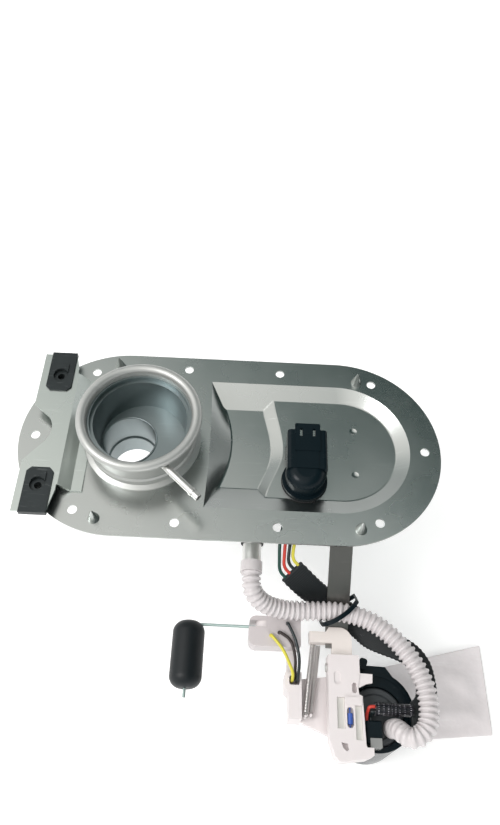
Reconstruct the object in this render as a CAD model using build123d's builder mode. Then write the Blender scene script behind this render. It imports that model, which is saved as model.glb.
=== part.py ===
from build123d import *
import os
from math import atan2, cos, degrees, radians, sin, sqrt, tan

# Saddle-tank fuel pump module, in millimetres.
# Origin: centre of the cover plate, on the underside of its flange, where it meets the tank.
# +X runs along the plate from the filler neck to the connector, -Y is the side the pump hangs on.

os.makedirs("parts", exist_ok=True)

# ---- cover plate ----
sheet = 1.5
plate_r = 73.0
arc_pitch = 150.0  # between the centres of the two round ends
screw_inset = 11.0  # screw holes' distance from the rim
screw_r = 3.2
screw_pitch = 68.0
deep_floor = 10.0  # pocket depth by the filler neck
high_floor = 6.0  # pocket depth under the connector
pocket_far, pocket_near, pocket_end = 52.0, -50.0, 126.5
floor_far, floor_near, floor_end = 35.0, -30.1, 112.3
bend_r = 2.0
locators = [(-85.5, 62.0), (-87.0, -61.5), (91.0, 57.5), (89.0, -61.0)]
locator_r, locator_h = 4.0, 11.0
weld_spots = [(88.0, 18.0), (88.0, -17.5)]

# ---- filler neck ----
neck_x = -61.3
rim_r, rim_tube, rim_z = 38.7, 3.3, 32.2
barrel_r, neck_wall = 36.3, 1.2
foot_r = 40.4
ledge_r, ledge_z = 31.8, 25.5
cup_floor_r, cup_floor_z = 29.4, -0.5
filler_r, filler_len, filler_inset = 18.0, 41.3, 1.7
filler_x = neck_x - (cup_floor_r - filler_r - filler_inset)
vent_r, vent_z, vent_angle = 2.5, 24.5, -42.8
vent_start, vent_len = (-43.4, -30.9), 34.8

# ---- console bracket and its spring nuts ----
bracket_top = 11.5
bracket_left, bracket_bend, bracket_foot = -139.0, -113.0, -105.7
nut_x, nut_y, nut_w, nut_leaf = -124.9, 44.0, 18.0, 1.2
nut_thread_r, nut_barrel_r, nut_barrel_len = 2.5, 5.2, 6.0

# ---- electrical connector ----
plug_x, plug_y, plug_r = 52.2, -24.3, 15.6
seat_r = 18.0  # round seat pressed into the pocket's near wall
shell_x, shell_w, shell_front, shell_top = 52.9, 27.4, 5.8, 15.0
wire_hole_r = 11.5
seal_t = 0.6

# ---- hanger strap ----
strap_x, strap_w, strap_t = 78.8, 15.5, 2.0
strap_bend, strap_low = (-48.5, -7.0), (-111.5, -57.0)
strap_end_y = -123.0
strap_foot = (28.0, -30.0, 34.0)

# ---- carrier arm, hinge and carrier ----
arm_left, arm_right, arm_far = 75.2, 88.6, -109.8
arm_top, arm_low = -53.5, -60.5
hinge_y, hinge_z, pin_r, run_fit = -136.0, -57.0, 2.0, 0.05
hook_left, hook_far, hook_near = 59.9, -113.0, -120.3
frame_left, frame_right, frame_far, frame_near = 71.8, 94.8, -128.8, -194.0
frame_top, frame_low = -50.0, -63.0
foot_right = 99.5
block_x, block_y = (43.8, 55.0), (-139.3, -168.6)
block_z = (-80.0, -58.0)

# ---- filter and pump ----
can_x, can_y, can_r, can_wall = 104.3, -161.0, 25.4, 1.8
can_top, can_len = -63.0, 54.0
cap_t = 3.0
pump_x, pump_y, pump_r, pump_wall = 103.8, -164.4, 18.5, 1.2
pump_top, pump_low = -67.0, can_top - can_len + 1.0
well_gap = 0.4
nipple_dx, nipple_dy, nipple_r, nipple_top = 10.4, -7.1, 3.6, -53.0
shaft_r = 1.6
magnet_t, air_gap, vane_gap = 3.7, 0.6, 1.8
magnet_in = pump_r - pump_wall - magnet_t
armature_r = magnet_in - air_gap
impeller_t, vane_count = 3.4, 30
impeller_r = pump_r - pump_wall - vane_gap

# ---- float sender ----
case_x, case_y, case_z = (18.4, 53.9), (-105.0, -125.3), (-63.0, -50.0)
hub_x, hub_z, hub_r = 29.5, -57.0, 6.2
arm_wire_r, arm_y, arm_reach, arm_drop = 1.0, -111.0, 54.5, 15.0
float_r, float_far, float_near = 11.2, -104.8, -150.2
wire_tip_y = -156.0

# ---- hoses and leads ----
hose_r, hose_bore = 6.0, 4.2
outlet_r, outlet_bore = 6.3, 4.8
outlet_x, outlet_y, outlet_z, outlet_end = 18.1, -15.0, -20.5, -80.0
lead_r, loom_r = 1.15, 3.8


def corner_radii(points):
    """Radius at each inner point: 0.45 of its shorter run over the tangent of half the turn."""
    radii = []
    for before, here, after in zip(points, points[1:], points[2:]):
        run_in = Vector(*here) - Vector(*before)
        run_out = Vector(*after) - Vector(*here)
        half_turn = radians(run_in.get_angle(run_out) / 2)
        radii.append(0.45 * min(run_in.length, run_out.length) / tan(half_turn))
    return radii


def route(name, points):
    """Straight runs joined by tangent arcs, as one wire."""
    radii = corner_radii(points)
    print(name, "radii", [round(radius, 1) for radius in radii])
    with BuildLine() as line:
        FilletPolyline(*points, radius=radii)
    return line.wires()[0]


def round_section(path, *radii):
    """Circles across the start of a path: the first is solid, a second is its bore."""
    with BuildSketch(Plane(origin=path @ 0, z_dir=path % 0)) as section:
        Circle(radii[0])
        for bore in radii[1:]:
            Circle(bore, mode=Mode.SUBTRACT)
    return section.sketch


def pocket_outline(level, far, near, end, left_far, left_near, left_mid):
    """One level of the pocket: two long sides, a round right end, a bowed left end."""
    half = (far - near) / 2
    middle = (far + near) / 2
    with BuildSketch(Plane.XY.offset(level)) as outline:
        with BuildLine():
            Line((left_far, far), (end - half, far))
            ThreePointArc((end - half, far), (end, middle), (end - half, near))
            Line((end - half, near), (left_near, near))
            ThreePointArc((left_near, near), (left_mid, middle), (left_far, far))
        make_face()
    return outline.sketch


def step_outline(level, wave):
    """The raised floor's plan at one level, from its wavy edge to past the round end."""
    with BuildSketch(Plane.XY.offset(level)) as outline:
        with BuildLine():
            Spline(*wave)
            Polyline(wave[-1], (pocket_end + 5, wave[-1][1]), (pocket_end + 5, wave[0][1]), wave[0])
        make_face()
    return outline.sketch


# ==== cover plate ====
deep_z = sheet - deep_floor
high_z = sheet - high_floor
with BuildPart() as pocket:
    loft([
        pocket_outline(sheet, pocket_far, pocket_near, pocket_end, -16.3, -15.7, -14.5),
        pocket_outline(deep_z, floor_far, floor_near, floor_end, -6.2, -8.0, 0.6),
    ])
    loft([
        step_outline(deep_z - 1, [(20.5, 60), (20.7, 34), (26.2, 11), (26.4, -7), (20.6, -24), (20, -60)]),
        step_outline(high_z, [(31, 60), (30.6, 36), (35.6, 13), (36.2, -7), (30, -24), (29, -60)]),
    ], mode=Mode.SUBTRACT)
    extrude(pocket.faces().sort_by(Axis.Z)[-1], amount=1)
    with Locations((plug_x, plug_y, high_z)):
        Cylinder(seat_r, sheet + 1 - high_z, align=(Align.CENTER, Align.CENTER, Align.MIN))
    fillet([edge for edge in pocket.edges() if edge.bounding_box().max.Z < high_z + 0.01], bend_r)

half_pitch = arc_pitch / 2
screw_path = plate_r - screw_inset
end_screw_x = screw_pitch * 1.5
end_screw_y = sqrt(screw_path**2 - (end_screw_x - half_pitch) ** 2)
screws = [(x, y) for x in (-screw_pitch / 2, screw_pitch / 2) for y in (-screw_path, screw_path)]
screws += [(x, y) for x in (-end_screw_x, end_screw_x) for y in (-end_screw_y, end_screw_y)]
screws += [(-half_pitch - screw_path, 0), (half_pitch + screw_path, 0)]

with BuildPart() as top_plate:
    with BuildSketch():
        SlotOverall(arc_pitch + 2 * plate_r, 2 * plate_r)
    extrude(amount=sheet)
    add(pocket.part.moved(Location((0, 0, -sheet))))
    with Locations((plug_x, plug_y, high_z - sheet)):
        Cylinder(seat_r + sheet, sheet - high_z, align=(Align.CENTER, Align.CENTER, Align.MIN))
    add(pocket.part, mode=Mode.SUBTRACT)
    with Locations(*[(x, y, sheet) for x, y in locators]):
        Cone(locator_r, 0.5, locator_h, align=(Align.CENTER, Align.CENTER, Align.MIN))
    with Locations(*[(x, y, 0) for x, y in locators]):
        Cone(locator_r - sheet, 0.2, locator_h - sheet, align=(Align.CENTER, Align.CENTER, Align.MIN),
             mode=Mode.SUBTRACT)
    with BuildSketch(Plane.XY.offset(deep_z - 2 * sheet)):
        with Locations(*screws):
            Circle(screw_r)
        with Locations((neck_x, 0)):
            Circle(cup_floor_r + neck_wall + 0.4)
        with Locations((plug_x, plug_y)):
            Circle(wire_hole_r)
    extrude(amount=deep_floor + 4 * sheet, mode=Mode.SUBTRACT)
    with Locations(*[(x, y, high_z + 5.5) for x, y in weld_spots]):
        Sphere(6.1, mode=Mode.SUBTRACT)
top_plate.part.label = "top_plate"
export_step(top_plate.part, "parts/top_plate.step")

# ==== filler neck: barrel with a rolled rim ====
neck_plane = Plane(origin=(neck_x, 0, 0), x_dir=(1, 0, 0), z_dir=(0, -1, 0))
neck_axis = Axis((neck_x, 0, 0), (0, 0, 1))
vent_dir = Vector(cos(radians(vent_angle)), sin(radians(vent_angle)), 0)
vent_plane = Plane(origin=(*vent_start, vent_z), z_dir=vent_dir)
barrel_in = barrel_r - neck_wall
with BuildPart() as filler_neck:
    with BuildSketch(neck_plane):
        with BuildLine():
            Polyline((barrel_in, sheet), (foot_r, sheet), (foot_r, sheet + neck_wall),
                     (barrel_r + 1.0, sheet + neck_wall + 1.6), (barrel_r + 1.0, 9), (barrel_r, 10.5),
                     (barrel_r, rim_z - 1), (barrel_in, rim_z), close=True)
        make_face()
        with Locations((rim_r, rim_z)):
            Circle(rim_tube)
            Circle(rim_tube - neck_wall, mode=Mode.SUBTRACT)
    revolve(axis=neck_axis)
    with BuildSketch(vent_plane):
        Circle(vent_r + 0.1)
    extrude(amount=8, mode=Mode.SUBTRACT)
filler_neck.part.label = "filler_neck"
export_step(filler_neck.part, "parts/filler_neck.step")

# ==== cup inside the neck, with its ledge and the off-centre filler hole ====
cup_out = barrel_in - 0.1
with BuildPart() as neck_cup:
    with BuildSketch(neck_plane):
        with BuildLine():
            Polyline((0, cup_floor_z), (cup_floor_r, cup_floor_z), (ledge_r, ledge_z), (cup_out - neck_wall, ledge_z),
                     (cup_out - neck_wall, ledge_z + 4), (cup_out, ledge_z + 4), (cup_out, ledge_z - neck_wall),
                     (ledge_r + neck_wall, ledge_z - neck_wall), (cup_floor_r + neck_wall, cup_floor_z - neck_wall),
                     (0, cup_floor_z - neck_wall), close=True)
        make_face()
    revolve(axis=neck_axis)
    with Locations((filler_x, 0, cup_floor_z)):
        Torus(filler_r + 0.7, 0.7)
    with BuildSketch(Plane.XY.offset(cup_floor_z - 2 * neck_wall)):
        with Locations((filler_x, 0)):
            Circle(filler_r)
    extrude(amount=4 * neck_wall, mode=Mode.SUBTRACT)
    with BuildSketch(vent_plane.offset(-6)):
        Circle(vent_r - 1)
    extrude(amount=8, mode=Mode.SUBTRACT)
neck_cup.part.label = "neck_cup"
export_step(neck_cup.part, "parts/neck_cup.step")

# ==== filler tube: drops below the cup, necked in half way ====
tube_top = cup_floor_z - neck_wall
neck_in_z = tube_top - 0.55 * filler_len
with BuildPart() as filler_tube:
    with BuildSketch(Plane(origin=(filler_x, 0, 0), x_dir=(1, 0, 0), z_dir=(0, -1, 0))):
        with BuildLine():
            Polyline((filler_r, tube_top), (filler_r + 1, tube_top), (filler_r + 1, neck_in_z),
                     (filler_r, neck_in_z - 2), (filler_r, tube_top - filler_len),
                     (filler_r - 1, tube_top - filler_len), (filler_r - 1, neck_in_z - 2),
                     (filler_r, neck_in_z), close=True)
        make_face()
    revolve(axis=Axis((filler_x, 0, 0), (0, 0, 1)))
filler_tube.part.label = "filler_tube"
export_step(filler_tube.part, "parts/filler_tube.step")

# ==== vent tube: drains the ledge, with a hose bead near its mouth ====
with BuildPart() as vent_tube:
    with BuildSketch(vent_plane):
        Circle(vent_r)
    extrude(amount=vent_len)
    with BuildSketch(vent_plane.offset(vent_len - 7)):
        Circle(vent_r + 0.5)
    extrude(amount=2)
    fillet(vent_tube.faces().sort_by(Axis((0, 0, 0), vent_dir))[-1].edges(), 0.4)
    with BuildSketch(vent_plane):
        Circle(vent_r - 0.9)
    extrude(amount=vent_len, mode=Mode.SUBTRACT)
vent_tube.part.label = "vent_tube"
export_step(vent_tube.part, "parts/vent_tube.step")

# ==== console bracket: raised platform, scooped round the end screw, on a sloping web and foot ====
web_far, web_near = 47.0, -43.0
platform_edge = nut_y + 19.0
with BuildPart() as console_bracket:
    with BuildSketch(Plane.XY.offset(bracket_top - sheet)):
        with BuildLine():
            Polyline((-128, -12), (bracket_left, -26), (bracket_left, -platform_edge), (-116.5, -platform_edge),
                     (bracket_bend, -47), (bracket_bend, 51), (-116, platform_edge), (bracket_left, platform_edge),
                     (bracket_left, 19), (-128, 10))
            ThreePointArc((-128, 10), (-123.5, -1), (-128, -12))
        make_face()
        with Locations((nut_x, nut_y), (nut_x, -nut_y)):
            Circle(nut_barrel_r + 0.8, mode=Mode.SUBTRACT)
    extrude(amount=sheet)
    with BuildSketch(Plane.XZ.offset(-web_far)):
        with BuildLine():
            Polyline((bracket_bend - 1, bracket_top - sheet), (bracket_bend - 1, bracket_top),
                     (bracket_bend + 0.8, bracket_top), (bracket_foot + 0.8, 2 * sheet), (bracket_foot + 8, 2 * sheet),
                     (bracket_foot + 8, sheet), (bracket_foot, sheet), (bracket_bend, bracket_top - sheet), close=True)
        make_face()
    extrude(amount=web_far - web_near)
    with BuildSketch(Plane.XY):
        with Locations((neck_x, 0)):
            Circle(foot_r + 0.4)
    extrude(amount=bracket_top, mode=Mode.SUBTRACT)
console_bracket.part.label = "console_bracket"
export_step(console_bracket.part, "parts/console_bracket.step")

# ==== spring nuts: folded clips pushed over the bracket's edges, each with a threaded barrel ====
nut_depth = platform_edge - nut_y + 14.0
for side, nut_name in ((1, "spring_nut_far"), (-1, "spring_nut_near")):
    fold_y = side * (platform_edge + nut_leaf)
    with BuildPart() as spring_nut:
        for level in (bracket_top, bracket_top - sheet - nut_leaf):
            with BuildSketch(Plane.XY.offset(level)):
                with Locations((nut_x, fold_y - side * nut_depth / 2)):
                    Rectangle(nut_w, nut_depth)
            extrude(amount=nut_leaf)
        with BuildSketch(Plane.XY.offset(bracket_top - sheet - nut_leaf)):
            with Locations((nut_x, fold_y - side * nut_leaf / 2)):
                Rectangle(nut_w, nut_leaf)
        extrude(amount=sheet + 2 * nut_leaf)
        free_end = spring_nut.edges().filter_by(Axis.Z).group_by(Axis.Y)[0 if side > 0 else -1]
        chamfer(free_end, 3)
        with BuildSketch(Plane.XY.offset(bracket_top - sheet - nut_barrel_len)):
            with Locations((nut_x, side * nut_y)):
                Circle(nut_barrel_r)
        extrude(amount=nut_barrel_len + sheet / 2)
        with BuildSketch(Plane.XY.offset(bracket_top)):
            with Locations((nut_x, side * nut_y + 5.4)):
                RectangleRounded(9.4, 8.6, 1.6)
        extrude(amount=nut_leaf + 0.9)
        with BuildSketch(Plane.XY.offset(bracket_top - 0.5)):
            with Locations((nut_x, side * nut_y)):
                Circle(nut_barrel_r)
        extrude(amount=2 * nut_leaf + 1, mode=Mode.SUBTRACT)
        with Locations((nut_x, side * nut_y, bracket_top)):
            Hole(nut_thread_r, depth=nut_barrel_len + 3 * sheet)
    spring_nut.part.label = nut_name
    export_step(spring_nut.part, f"parts/{nut_name}.step")

# ==== connector: domed elbow on a round base, socket facing +Y, latch bridge on top ====
base_z = high_z + seal_t
with BuildPart() as connector_seal:
    with BuildSketch(Plane.XY.offset(high_z)):
        with Locations((plug_x, plug_y)):
            Circle(plug_r + 0.4)
            Circle(wire_hole_r, mode=Mode.SUBTRACT)
    extrude(amount=seal_t)
connector_seal.part.label = "connector_seal"
export_step(connector_seal.part, "parts/connector_seal.step")

socket_w, socket_low, socket_high, socket_back = 22.0, 1.8, 12.4, -9.0
bridge_w, bridge_front, bridge_back, bridge_t = 17.4, 10.2, -11.2, 2.4
with BuildPart() as connector_housing:
    with BuildSketch(Plane.XY.offset(base_z)):
        with Locations((plug_x, plug_y)):
            Circle(plug_r)
    extrude(amount=3.2)
    with BuildSketch(Plane.XY.offset(base_z + 3.2)):
        with Locations((plug_x, plug_y)):
            Circle(shell_w / 2)
    extrude(amount=shell_top - base_z - 3.2)
    fillet(connector_housing.faces().sort_by(Axis.Z)[-1].edges(), 7.5)
    with BuildSketch(Plane.XZ.offset(-shell_front)):
        with Locations((shell_x, (shell_top + 0.4 - 1.2) / 2)):
            RectangleRounded(shell_w, shell_top + 1.2, 2.6)
    extrude(amount=shell_front - plug_y)
    with BuildSketch(Plane.XY.offset(shell_top - 1.2)):
        with Locations((shell_x, (bridge_front + bridge_back) / 2)):
            RectangleRounded(bridge_w, bridge_front - bridge_back, 1)
    extrude(amount=bridge_t)
    with BuildSketch(Plane.XY.offset(shell_top - 1.2)):
        with Locations((shell_x, (bridge_back + plug_y) / 2)):
            Rectangle(bridge_w - 2.4, bridge_back - plug_y)
    extrude(amount=1.9)
    with BuildSketch(Plane.XZ.offset(-shell_front - 5)):
        with Locations((shell_x, (socket_low + socket_high) / 2)):
            Rectangle(socket_w, socket_high - socket_low)
    extrude(amount=shell_front + 5 - socket_back, mode=Mode.SUBTRACT)
    with BuildSketch(Plane.XY.offset(socket_high - 1)):
        with Locations((shell_x - 4.4, 3.2), (shell_x + 4.4, 3.2)):
            Rectangle(1.7, 6.0)
    extrude(amount=shell_top, mode=Mode.SUBTRACT)
    with BuildSketch(Plane.XY.offset(base_z - 4)):
        with Locations((plug_x, plug_y)):
            Circle(wire_hole_r - 0.4)
    extrude(amount=4)
connector_housing.part.label = "connector_housing"
export_step(connector_housing.part, "parts/connector_housing.step")

blade_z = (socket_low + socket_high) / 2
blade_end = shell_front - 2.0
with BuildPart() as connector_terminals:
    for shift in (-7.5, -2.5, 2.5, 7.5):
        with Locations((shell_x + shift, (socket_back + blade_end) / 2, blade_z)):
            Box(2.8, blade_end - socket_back, 0.8)
connector_terminals.part.label = "connector_terminals"
export_step(connector_terminals.part, "parts/connector_terminals.step")

# ==== fuel outlet: bent steel pipe brazed under the pocket's deep floor, with a rubber ring ====
outlet_top = deep_z - sheet
with BuildPart() as outlet_tube:
    with BuildLine() as outlet_path:
        FilletPolyline((outlet_x, outlet_y, outlet_top), (outlet_x, outlet_y, outlet_z),
                       (outlet_x, outlet_end, outlet_z), radius=9)
    with BuildSketch(Plane.XY.offset(outlet_top)):
        with Locations((outlet_x, outlet_y)):
            Circle(outlet_r)
            Circle(outlet_bore, mode=Mode.SUBTRACT)
    sweep()
    with BuildSketch(Plane.XY.offset(outlet_top)):
        with Locations((outlet_x, outlet_y)):
            Circle(outlet_r + 2.6)
            Circle(outlet_r - 0.2, mode=Mode.SUBTRACT)
    extrude(amount=-1.5)
outlet_tube.part.label = "outlet_tube"
export_step(outlet_tube.part, "parts/outlet_tube.step")

with BuildPart() as outlet_ring:
    with BuildSketch(Plane(origin=(outlet_x, -65.5, outlet_z), z_dir=(0, 1, 0))):
        Circle(outlet_r + 1.4)
        Circle(outlet_r, mode=Mode.SUBTRACT)
    extrude(amount=4)
outlet_ring.part.label = "outlet_ring"
export_step(outlet_ring.part, "parts/outlet_ring.step")

# ==== hanger strap: spot-welded foot, sloping strip, flat end ====
foot_far, foot_near, foot_w = strap_foot
strap_left = strap_x - strap_w / 2
strap_right = strap_x + strap_w / 2
with BuildPart() as hanger_strap:
    with BuildSketch(Plane.YZ.offset(strap_left - 0.1)):
        with BuildLine():
            FilletPolyline((foot_far, strap_bend[1]), strap_bend, strap_low, (strap_end_y, strap_low[1]), radius=5)
        trace(line_width=strap_t)
    extrude(amount=foot_w + 1)
    with BuildSketch(Plane.XY.offset(strap_low[1] - 5)):
        with BuildLine():
            Polyline((strap_left, foot_far + 2), (strap_left + foot_w, foot_far + 2), (strap_left + foot_w, foot_near),
                     (strap_right, strap_bend[0] + 2), (strap_right, strap_end_y - 2), (strap_left, strap_end_y - 2),
                     close=True)
        make_face()
    extrude(amount=60, mode=Mode.INTERSECT)
hanger_strap.part.label = "hanger_strap"
export_step(hanger_strap.part, "parts/hanger_strap.step")

# ==== carrier arm: moulded on the strap's end, with a spring hook to the left and the hinge knuckle ====
arm_mid = (arm_left + arm_right) / 2
spring_tops = [(63.0, -118.6), (67.0, -118.2)]
spring_ends = [(57.6, -166.4), (61.2, -165.6)]
spring_levels = (-61.0, -65.3)
peg_r = 0.9
with BuildPart() as carrier_arm:
    with BuildSketch(Plane.XY.offset(arm_low)):
        with BuildLine():
            Polyline((arm_left, hinge_y - 3.5), (arm_right, hinge_y - 3.5), (arm_right, arm_far), (arm_left - 2, arm_far),
                     (arm_left - 4, hook_far), (hook_left, hook_far), (hook_left, hook_near), (arm_left, hook_near),
                     close=True)
        make_face()
    extrude(amount=arm_top - arm_low)
    fillet(carrier_arm.edges().filter_by(Axis.Z).sort_by(Axis.X)[-2:].sort_by(Axis.Y)[-1:], 8)
    fillet(carrier_arm.edges().filter_by(Axis.X).group_by(Axis.Y)[0], 3.4)
    with Locations(*[(x, y, arm_low) for x, y in spring_tops]):
        Cylinder(peg_r, 5.6, align=(Align.CENTER, Align.CENTER, Align.MAX))
    with BuildSketch(Plane.YZ.offset(strap_left - 0.2)):
        with BuildLine():
            FilletPolyline((strap_bend[0], strap_bend[1]), strap_low, (strap_end_y - 0.3, strap_low[1]), radius=5)
        trace(line_width=strap_t + 0.2)
    extrude(amount=strap_w + 0.4, mode=Mode.SUBTRACT)
    with Locations(Plane(origin=(arm_mid, hinge_y, hinge_z), z_dir=(1, 0, 0))):
        Cylinder(pin_r + run_fit, 2 * (arm_right - arm_left), mode=Mode.SUBTRACT)
carrier_arm.part.label = "carrier_arm"
export_step(carrier_arm.part, "parts/carrier_arm.step")

# ==== hinge pin: through the arm's knuckle and both cheeks of the carrier ====
cheek = 3.2
pin_left = arm_left - 0.3 - cheek
pin_right = arm_right + 0.3 + cheek
with BuildPart() as hinge_pin:
    with Locations(Plane(origin=(pin_left - 1.0, hinge_y, hinge_z), z_dir=(1, 0, 0))):
        Cylinder(pin_r, pin_right - pin_left + 1.6, align=(Align.CENTER, Align.CENTER, Align.MIN))
        Cylinder(pin_r + 1.0, 1.0, align=(Align.CENTER, Align.CENTER, Align.MIN))
hinge_pin.part.label = "hinge_pin"
export_step(hinge_pin.part, "parts/hinge_pin.step")

# ==== extension springs: a close-wound body with a loop at each end ====
spring_r = 2.1
spring_gap = 1.9  # from each peg to the first coil
loop_r, loop_wire = 1.6, 0.28
loop_hang = loop_r - loop_wire - peg_r - 0.02  # how far each loop hangs past its peg's centre
for spring_name, start, end, level in zip(("spring_left", "spring_right"), spring_tops, spring_ends, spring_levels):
    top_point = Vector(*start, level)
    low_point = Vector(*end, level)
    along = (low_point - top_point).normalized()
    with BuildPart() as spring:
        coil_len = (low_point - top_point).length - 2 * spring_gap
        with BuildSketch(Plane(origin=top_point + along * spring_gap, z_dir=along)):
            Circle(spring_r)
        extrude(amount=coil_len)
        with BuildSketch(Plane(origin=top_point + along * (spring_gap + 0.6), z_dir=along)):
            Circle(spring_r - 0.5)
        extrude(amount=coil_len - 1.2, mode=Mode.SUBTRACT)
        with Locations(Location(top_point + along * loop_hang), Location(low_point - along * loop_hang)):
            Torus(loop_r, loop_wire)
    spring.part.label = spring_name
    export_step(spring.part, f"parts/{spring_name}.step")

# ==== carrier frame: hinge cheeks, windowed top, cradle round the filter, sender block and gusset ====
stop_gap = 0.3
knuckle_back = hinge_y - 6.0
skin = 1.5
recess = 2.8
cradle_in = can_r + 1.2
cradle_out = cradle_in + 2.4
left_window = (77.0, 82.0, -174.6, -155.6)
middle_window = (83.2, 87.5, -174.1, -161.5)
right_window = (88.6, 93.0, -181.0, -160.5)
with BuildPart() as carrier_frame:
    with BuildSketch(Plane.XY.offset(frame_low)):
        with BuildLine():
            Polyline((frame_left, frame_far), (92.6, frame_far), (92.6, -140.4), (91.2, -149.2), (91.6, -153.6),
                     (93.8, -154.6), (frame_right, -183.8), (95.4, -185.0), (foot_right, -185.0), (foot_right, -189.4),
                     (95.0, -191.4), (77.8, frame_near), (75.0, -190.4), (frame_left, -181), close=True)
        make_face()
        fillet(vertices().group_by(Axis.Y)[0], 3)
    extrude(amount=frame_top - frame_low)
    # room for the knuckle: open towards the arm, a skin above and a stop lip below
    with BuildSketch(Plane.XY.offset(arm_low - stop_gap)):
        with Locations((arm_mid, (frame_far + knuckle_back) / 2 + 2)):
            Rectangle(arm_right - arm_left + 0.6, frame_far - knuckle_back + 4)
    extrude(amount=frame_top - skin - arm_low + stop_gap, mode=Mode.SUBTRACT)
    with Locations(Plane(origin=(arm_mid, hinge_y, hinge_z), z_dir=(1, 0, 0))):
        Cylinder(pin_r + run_fit, 60, mode=Mode.SUBTRACT)
    # windows over the level probe, snap slot and wedge-shaped pocket in the top
    with BuildSketch(Plane.XY.offset(frame_top)):
        for left, right, near, far in (left_window, right_window):
            with Locations(((left + right) / 2, (near + far) / 2)):
                Rectangle(right - left, far - near)
    extrude(amount=-recess, mode=Mode.SUBTRACT)
    with BuildSketch(Plane.XY.offset(frame_top)):
        left, right, near, far = middle_window
        with Locations(((left + right) / 2, (near + far) / 2)):
            SlotOverall(far - near, right - left, rotation=90)
        with Locations((88.7, -149.6)):
            SlotOverall(6.6, 3.1, rotation=90)
        with BuildLine():
            Polyline((79.0, -182.5), (83.2, -183.2), (83.6, -186.8), (82.2, -187.6), (80.2, -185.8), close=True)
        make_face()
    extrude(amount=-4, mode=Mode.SUBTRACT)
    # pressed outline beside the hinge, and the raised tongue above the windows
    with BuildSketch(Plane.XY.offset(frame_top)):
        with Locations((77.8, -143.6)):
            RectangleRounded(4.8, 8.0, 2.2)
    extrude(amount=-0.8, mode=Mode.SUBTRACT)
    with BuildSketch(Plane.XY.offset(frame_top)):
        with Locations((87.6, -157.9)):
            RectangleRounded(11.0, 4.8, 0.8)
    extrude(amount=0.9)
    # snap tab reaching over the filter's cap
    with BuildSketch(Plane.XY.offset(frame_top - 3)):
        with BuildLine():
            Polyline((90, -140.0), (101, -140.5), (100.7, -146), (97, -146.6), (92.4, -149.0), (90, -149.0), close=True)
        make_face()
    extrude(amount=2.4)
    # cradle: part ring round the filter can
    with BuildSketch(Plane.XY.offset(frame_low - 36)):
        with BuildLine():
            inner = CenterArc((can_x, can_y), cradle_in, 132, 104)
            outer = CenterArc((can_x, can_y), cradle_out, 132, 104)
            Line(inner @ 0, outer @ 0)
            Line(inner @ 1, outer @ 1)
        make_face()
    extrude(amount=37.5)
    # gusset and sender block
    with BuildSketch(Plane.XY.offset(-74)):
        with BuildLine():
            Polyline((block_x[1] - 2, -142), (76, -139), (80, -157), (80, -179), (block_x[1] - 2, -168.2), close=True)
        make_face()
        with Locations((can_x, can_y)):
            Circle(cradle_in, mode=Mode.SUBTRACT)
    extrude(amount=6)
    with BuildSketch(Plane.XY.offset(block_z[0])):
        with BuildLine():
            Polyline((block_x[0], block_y[0]), (block_x[1], block_y[0]), (block_x[1], block_y[1]),
                     (block_x[0] + 2.6, block_y[1]), (block_x[0] + 2.6, -152), (block_x[0], -150), close=True)
        make_face()
        fillet(vertices().group_by(Axis.X)[0], 1.2)
    extrude(amount=block_z[1] - block_z[0])
    with BuildSketch(Plane.XY.offset(block_z[1])):
        with Locations((50.2, -144.6)):
            RectangleRounded(7.0, 6.0, 1.5)
    extrude(amount=-9, mode=Mode.SUBTRACT)
    # leg carrying the sender case
    with BuildSketch(Plane.XY.offset(-64)):
        with Locations((47.4, (case_y[1] + block_y[0]) / 2)):
            Rectangle(5.2, case_y[1] - block_y[0])
    extrude(amount=5)
    with Locations(*[(x, y, -68) for x, y in spring_ends]):
        Cylinder(peg_r, 7.8, align=(Align.CENTER, Align.CENTER, Align.MIN))
carrier_frame.part.label = "carrier_frame"
export_step(carrier_frame.part, "parts/carrier_frame.step")

# ==== level probe in the frame's window: two contact strips and the thermistor between them ====
with BuildPart() as contact_strips:
    for left, right, near, far in (left_window, right_window):
        with Locations(((left + right) / 2, (near + far) / 2, frame_top - recess)):
            Box(right - left - 0.2, far - near - 0.2, 1.2, align=(Align.CENTER, Align.CENTER, Align.MIN))
contact_strips.part.label = "contact_strips"
export_step(contact_strips.part, "parts/contact_strips.step")

probe_x = (middle_window[0] + middle_window[1]) / 2
probe_y = (middle_window[2] + middle_window[3]) / 2
with BuildPart() as thermistor:
    with Locations(Plane(origin=(probe_x, probe_y - 0.6, frame_top - 2.2), z_dir=(0, 1, 0))):
        Cylinder(1.8, 6.5)
    with Locations(Plane(origin=(probe_x, probe_y, frame_top - 2.2), z_dir=(0, 1, 0))):
        Cylinder(0.5, middle_window[3] - middle_window[2] - 0.2)
thermistor.part.label = "thermistor"
export_step(thermistor.part, "parts/thermistor.step")

# ==== filter: can with an off-centre well for the pump, crescent element, cap ring ====
can_low = can_top - cap_t - can_len
well_r = pump_r + well_gap
well_wall = 2.2  # thick enough to run into the can's wall on the near side
shoulder = [(86, -146), (90, -134.6), (100.3, -132.0), (112.1, -132.4), (117.0, -139.0), (104, -152)]


def can_outline(level, inset):
    """The can's plan at one level, set in by a wall: a circle with a shoulder towards the hinge."""
    with BuildSketch(Plane.XY.offset(level)) as outline:
        with Locations((can_x, can_y)):
            Circle(can_r)
        with BuildLine():
            Polyline(*shoulder, close=True)
        make_face()
        if inset:
            offset(amount=-inset)
    return outline.sketch


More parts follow.
